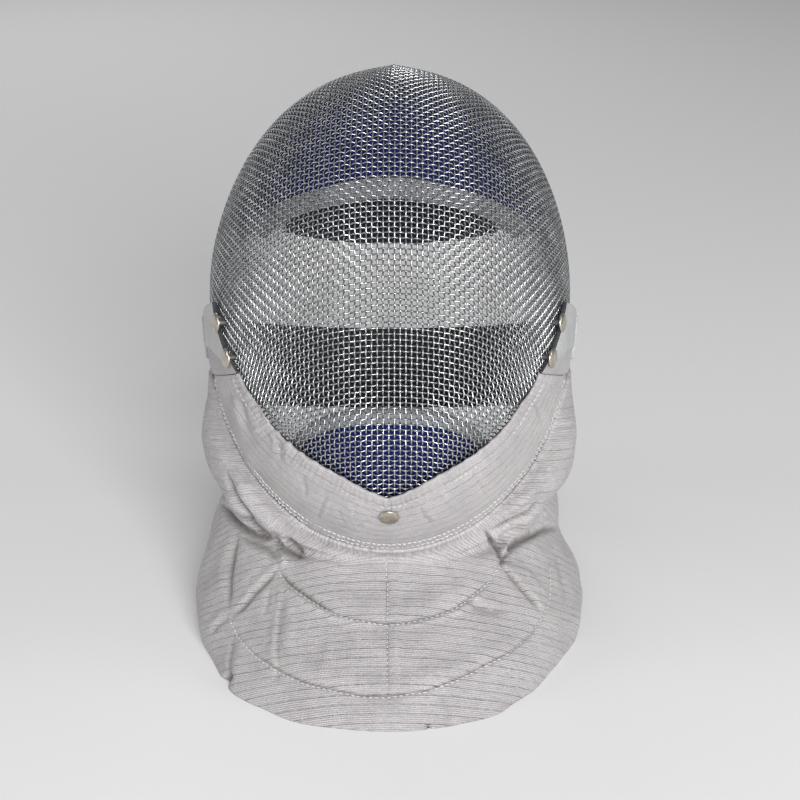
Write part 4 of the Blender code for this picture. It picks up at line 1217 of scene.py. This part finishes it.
def make_bib_stitches(look):
    bars = []
    bearing = np.linspace(BAND_END_BEARING + 1.0, 359.0 - BAND_END_BEARING, 400)[::-1]
    share = (360.0 - BAND_END_BEARING - bearing) / (360.0 - 2 * BAND_END_BEARING)
    upper, lower = band_edge(bearing, 1), band_edge(bearing, 2)
    for across, thread in BAND_STITCHES:
        spread = upper + (lower - upper) * across
        spots = standing(on_dome(spread, bearing, band_lift(share, across)))
        bars += stitches(spots, turned_up(outward(on_dome(spread, bearing))), *thread)
    for line, slant in BIB_SEAMS:
        bars += stitches(*bib_line(line), 0.0021, 0.0009, 0.00026, slant)
    bundle("bib_stitches", None, look, bars)


# Pads


def pad_grid(along, first, last, count):
    """Between two edges of a pad: both places, and u and w from -1 to 1 over the grid."""
    share = np.linspace(0.0, 1.0, count)
    spread = first[:, None] + (last - first)[:, None] * share
    return np.broadcast_arrays(spread, along[:, None], np.linspace(-1, 1, len(along))[:, None],
                               (share * 2 - 1)[None, :])


def crowned(mid_at, u, w, thick, look, name, node, slot, edge):
    """A padded closed form; mid_at gives its middle surface, moved inward by a depth."""
    profile = ((1 - np.abs(u) ** 6) * (1 - np.abs(w) ** 4)) ** 0.5
    half = thick * PAD_CLEAR / 2 * (edge + (1 - edge) * np.clip(profile, 0, 1))
    cloth = grid_cloth(mid_at(np.zeros(u.shape)))
    make_wall(name, node, slot, mid_at(-half), mid_at(half), look, cloth)


def make_binding(name, node, centre, along, points_at, lift, half, sign, white, thread):
    """White tape folded round a pad's edge, with a row of stitches on both its faces."""
    turn = np.linspace(0, 2 * math.pi, 17)[:-1]
    across, deep = (np.sign(wave) * np.abs(wave) ** TAPE_SQUARE
                    for wave in (np.cos(turn), np.sin(turn)))
    puff = 1.0 + 0.03 * np.sin(np.arange(len(along)) * 1.7) + RNG.normal(0, 0.008, len(along))
    depth = deep * PAD_THICK / 2 * PAD_CLEAR * puff[:, None]
    rings = standing(points_at(centre[:, None] + half * across, along[:, None],
                               -lift - PAD_THICK / 2 - depth))
    round_it = np.linspace(0, 0.036, len(turn), endpoint=False)
    cloth = np.stack(np.meshgrid(run_length(rings.mean(1)), round_it, indexing="ij"), -1)
    closed(name, node, "binding", rings, [white], cloth)
    seam = centre + sign * half * 0.55
    bars = []
    for way in (1.0, -1.0):
        depth = np.full(len(along), way * 0.5 * PAD_CLEAR * PAD_THICK * PAD_CLEAR)
        own = points_at(seam, along, -lift - PAD_THICK / 2 + depth)
        normal = turned_up(outward(points_at(seam, along, 0.0))) * way
        bars += stitches(standing(own), normal, 0.0026, 0.0010, 0.0002)
    bundle(name + "_stitches", None, thread, bars)


def make_pad(place_name, rows, points_at, seat_at, reach, sign, counts, wave_at, looks):
    """A pad inside the dome with its taped edge; sign is the way from that edge to the far one."""
    blue, white, thread = looks
    along = np.linspace(-rows[-1][0], rows[-1][0], counts[0])
    edge, far = (smooth(rows, column, np.abs(along)) for column in (1, 2))
    half = math.degrees(BINDING_WIDE / 2 / reach)
    make_binding(f"{place_name}_tape", f"{place_name}_binding", edge, along, points_at, seat_at, half,
                 sign, white, thread)
    start = edge + sign * (half + math.degrees(PAD_GAP / reach))
    spread, grid, u, w = pad_grid(along, start, far, counts[1])
    wave = PAD_WAVE * wave_at(u, w) * (1 - w ** 2)

    def at(depth):
        return standing(points_at(spread, grid, -seat_at - PAD_THICK / 2 - depth + wave))

    crowned(at, u, w, PAD_THICK, blue, f"{place_name}_cushion", f"{place_name}_pad", "pad_cloth", 0.35)


def make_tongue(look):
    turn = np.linspace(-TONGUE_HALF_TURN, TONGUE_HALF_TURN, 81)
    low, high = (smooth(TONGUE_PAD, column, np.abs(turn)) for column in (1, 2))
    up, around, u, w = pad_grid(np.radians(turn), low, high, 25)

    def at(depth):
        arc = TONGUE_ARC + TONGUE_PAD_THICK / 2 - depth
        spots = [arc * np.sin(around), TONGUE_ARC_BACK + arc * np.cos(around), up]
        return standing(np.stack(spots, -1))

    crowned(at, u, w, TONGUE_PAD_THICK, look, "tongue_cushion", "tongue_pad", "dark_cloth", 0.22)


# Strap, tabs, patches and rivets


def make_strap(look):
    around = np.radians(np.linspace(STRAP_START, 180.0 - STRAP_START, 121))[:, None]
    height = np.linspace(STRAP_LOW, STRAP_HIGH, 9)[None, :]
    walls = []
    for shift in (0.0, -STRAP_THICK):
        x = (STRAP_HALF_WIDTH + shift) * np.cos(around)
        y = STRAP_FRONT + (STRAP_BACK - STRAP_FRONT + shift) * np.sin(around)
        walls.append(standing(np.stack(np.broadcast_arrays(x, y, height), -1)))
    make_wall("elastic_strap", "back_strap", "elastic", *walls, look)


def dome_side(y, z, lift):
    """x of the dome's side at y and z of its own frame, lifted."""
    x = np.full(y.shape, HALF_WIDTH * 0.97)
    for _ in range(12):
        x = x - height_over_dome(np.stack([x, y, z], -1))
    spot = np.stack([x, y, z], -1)
    return (spot + outward(spot) * lift)[..., 0]


def make_tab(side, way, look, thread):
    y, z = np.meshgrid(np.linspace(TAB_FRONT, TAB_BACK, 49), np.linspace(TAB_LOW, TAB_HIGH, 13),
                       indexing="ij")
    share = np.clip((y - TAB_LEAVES) / (TAB_LANDS - TAB_LEAVES), 0.0, 1.0)
    turn = np.arcsin(np.clip((y - STRAP_FRONT) / (STRAP_BACK - STRAP_FRONT), 0.0, 1.0))
    walls = []
    for lift in (TAB_SEAT + TAB_THICK, TAB_SEAT):
        on_side = dome_side(np.minimum(y, TAB_LEAVES), z, lift)
        over_strap = (STRAP_HALF_WIDTH + TAB_OVER_STRAP + lift - TAB_SEAT) * np.cos(turn)
        x = on_side + (over_strap - on_side) * share
        walls.append(standing(np.stack([x * way, y, z], -1)))
    make_wall(f"strap_tab_{side}", f"side_tab_{side}", "vinyl", *walls, look)
    out = unit(walls[0] - walls[1])
    bars = []
    for pick in ((slice(2, -2), 1), (slice(2, -2), -2), -3):
        bars += stitches(walls[0][pick], out[pick], 0.0024, 0.0010, 0.0002)
    bundle(f"strap_tab_{side}_stitches", None, thread, bars)


def set_kinds(piece, kinds, *looks):
    """Further looks of a piece, and which of them each face has."""
    for look in looks:
        piece.data.materials.append(look)
    piece.data.polygons.foreach_set("material_index", kinds.astype(np.int32))
    piece.data.update()


def make_patch(side, way, look, edge_look, cloth_look):
    down = np.linspace(0.0, 1.0, PATCH_ROWS + 1)[:, None]
    back = np.linspace(0.0, 1.0, 41)[None, :]
    # The cloth of the bib's end covers the patch's lower rear corner, up to a slanting edge
    cloth_from = PATCH_CLOTH_ROW / PATCH_ROWS
    raised = PATCH_SLANT * ease(back, 0.0, PATCH_SLANT_REACH)
    share = down - raised * np.where(down < cloth_from, down / cloth_from, (1 - down) / (1 - cloth_from))
    spread, bearing = (
        (PATCH_TOP[k] * (1 - back) + PATCH_TOP[k + 2] * back) * (1 - share)
        + (PATCH_BOTTOM[k] * (1 - back) + PATCH_BOTTOM[k + 2] * back) * share for k in (0, 1)
    )
    step = np.clip(down * PATCH_ROWS - PATCH_CLOTH_ROW, 0.0, 1.0) * PATCH_STEP
    outer = standing(on_dome(spread, bearing * way, SEAT + PATCH_THICK - step))
    inner = standing(on_dome(spread, bearing * way, SEAT))
    piece = make_wall(f"vinyl_patch_{side}", f"side_patch_{side}", "vinyl", outer, inner, look)
    round_it = 2 * (outer.shape[1] + WALL_ROUNDING)
    row, ring = np.divmod(np.arange(PATCH_ROWS * round_it), round_it)
    kinds = np.zeros(len(piece.data.polygons))
    cut = ring >= 2 * outer.shape[1] + 2
    kinds[:len(ring)] = np.where(cut, 1, np.where(row >= PATCH_CLOTH_ROW, 2, 0))
    set_kinds(piece, kinds, edge_look, cloth_look)


def make_rivet(name, spread, bearing, stack, inner_top, look, dull):
    """A double-cap rivet, turned round its own line; its inner cap and post are duller."""
    foot = standing(on_dome(spread, bearing))
    way = unit(standing(on_dome(spread, bearing, 0.01)) - foot)
    top = stack + GAP
    rows = [(share * INNER_CAP_RADIUS, inner_top - drop) for share, drop in INNER_CAP]
    rows += [(POST_RADIUS, inner_top), (POST_RADIUS, top)]
    dull_rows = len(rows) - 1
    rows += [(CAP_RADIUS * 0.97, top), (CAP_RADIUS, top + 0.00015), (CAP_RADIUS, top + CAP_EDGE)]
    rows += [(CAP_RADIUS * math.cos(turn) ** 0.8, top + CAP_EDGE + (CAP_RISE - CAP_EDGE) * math.sin(turn))
             for turn in np.linspace(0.15, 1.0, 7)[:-1] * math.pi / 2]
    rows.append((0.0, top + CAP_RISE - 0.00012))
    side = unit(np.cross(way, [0.0, 0.0, 1.0]))
    other = np.cross(way, side)
    around = 2 * math.pi * np.arange(40) / 40
    circle = side * np.cos(around)[:, None] + other * np.sin(around)[:, None]
    rings = np.array([foot + way * height + circle * max(radius, 1e-5) for radius, height in rows])
    piece = closed(f"cap_{name}", name, "nickel", rings, [look])
    set_kinds(piece, np.arange(len(piece.data.polygons)) < dull_rows * len(around), dull)
    piece.data.set_sharp_from_angle(angle=math.radians(38))


def make_rivets(*looks):
    sides = (("left", -1.0), ("right", 1.0))
    for side, way in sides:
        for name, spread, bearing in SIDE_RIVETS:
            make_rivet(f"{side}_rivet_{name}", spread, way * bearing, SEAT + PATCH_THICK,
                       -INNER_CAP_DEPTH, *looks)
    make_rivet("chin_rivet", CHIN_RIVET_SPREAD, 180.0, SEAT + BAND_THICK + 0.0003, -INNER_CAP_DEPTH,
               *looks)
    reach = np.linalg.norm(on_dome(TONGUE_RIVET_SPREAD, 0.0))
    off = math.degrees(TONGUE_RIVET_OUT / (reach * math.sin(math.radians(TONGUE_RIVET_SPREAD))))
    for side, way in sides:
        make_rivet(f"{side}_tongue_rivet", TONGUE_RIVET_SPREAD, way * off, 0.0,
                   -SPRING_SEAT - SPRING_THICK - SPRING_CLEAR, *looks)


# Stage


def make_stage():
    camera = bpy.data.cameras.new("view")
    camera.lens = CAMERA_LENS
    camera.sensor_width = CAMERA_SENSOR
    turn = (math.radians(90.0 - CAMERA_DIP), 0.0, 0.0)
    bpy.context.scene.camera = place("view", camera, CAMERA_SPOT, turn)

    look = Look("studio_floor", 0.9)
    look.shader["Base Color"].default_value = (0.86, 0.86, 0.86, 1)
    look.shader["Specular IOR Level"].default_value = 0.05
    mesh = bpy.data.meshes.new("studio_floor")
    size = 6.0
    corners = [(-size, -size, 0), (size, -size, 0), (size, size, 0), (-size, size, 0)]
    mesh.from_pydata(corners, [], [(0, 1, 2, 3)])
    mesh.materials.append(look.material)
    place("studio_floor", mesh)

    world = bpy.data.worlds.new("studio")
    bpy.context.scene.world = world
    world.use_nodes = True
    sky = world.node_tree.nodes["Background"].inputs
    sky["Color"].default_value = (1.0, 1.0, 1.0, 1)
    sky["Strength"].default_value = 0.23
    bpy.context.scene.view_settings.view_transform = "Standard"
    for name, spot, aim, size, power in LIGHTS:
        data = bpy.data.lights.new(name, "AREA")
        data.shape = "SQUARE"
        data.size = size
        data.energy = power
        x, y, z = spot[0], spot[1], spot[2] - aim
        place(name, data, spot, (math.atan2(math.hypot(x, y), z), 0.0, math.atan2(x, -y)))


def main():
    make_stage()
    wire = wire_look()
    cloth = conductive_look()
    band_cloth = conductive_look("conductive_band", 0.60)
    thread = stitch_look()
    blue = weave_look("blue_pad_cloth", (0.001, 0.004, 0.052), (0.004, 0.022, 0.270), 0.0009, 0.00025,
                      0.9, 0.0)
    # The white tape is given a grey colour as painted shade, for the shade it lies in inside the dome
    white = weave_look("white_tape", (0.34, 0.35, 0.38), (0.56, 0.57, 0.61), 0.0008, 0.0002, 0.8, 0.2)
    dark = weave_look("dark_pad_cloth", (0.004, 0.005, 0.020), (0.012, 0.014, 0.05), 0.0009, 0.00025)
    elastic = elastic_look()
    vinyl = vinyl_look("grey_vinyl", (0.46, 0.47, 0.47), (0.58, 0.585, 0.585))
    cut_edge = vinyl_look("vinyl_cut_edge", (0.035, 0.036, 0.038), (0.07, 0.07, 0.075), 0.6)
    edging = vinyl_look("grey_edging", (0.34, 0.36, 0.365), (0.43, 0.45, 0.455), 0.5)
    nickel = metal_look("worn_nickel", (0.66, 0.61, 0.53), (0.42, 0.38, 0.32), 0.20)
    post = metal_look("dull_rivet_post", (0.26, 0.25, 0.24), (0.16, 0.155, 0.15), 0.5)
    steel = metal_look("spring_steel_strip", (0.42, 0.42, 0.43), (0.30, 0.30, 0.31), 0.36, (1, 12, 12))

    make_wires(wire)
    make_trim(edging)
    make_band(band_cloth)
    make_bib(cloth)
    make_bib_stitches(thread)
    pad_looks = (blue, white, thread)
    make_pad("forehead", FOREHEAD_PAD, on_crown, PAD_SEAT, FOREHEAD_REACH, 1, (91, 41),
             lambda u, w: np.sin(u * 9.0 + np.sin(w * 4.0) * 2.0), pad_looks)
    make_pad("chin", CHIN_PAD, from_turn, CHIN_SEAT, CHIN_REACH, -1, (65, 31),
             lambda u, w: np.sin(u * 7.0 + w * 3.0), pad_looks)
    make_tongue(dark)
    make_strap(elastic)
    for side, way in (("left", -1.0), ("right", 1.0)):
        make_patch(side, way, vinyl, cut_edge, band_cloth)
        make_tab(side, way, vinyl, thread)
    make_rivets(nickel, post)
    for slot in bpy.data.objects["tongue_spring"].material_slots:
        slot.material = steel


main()
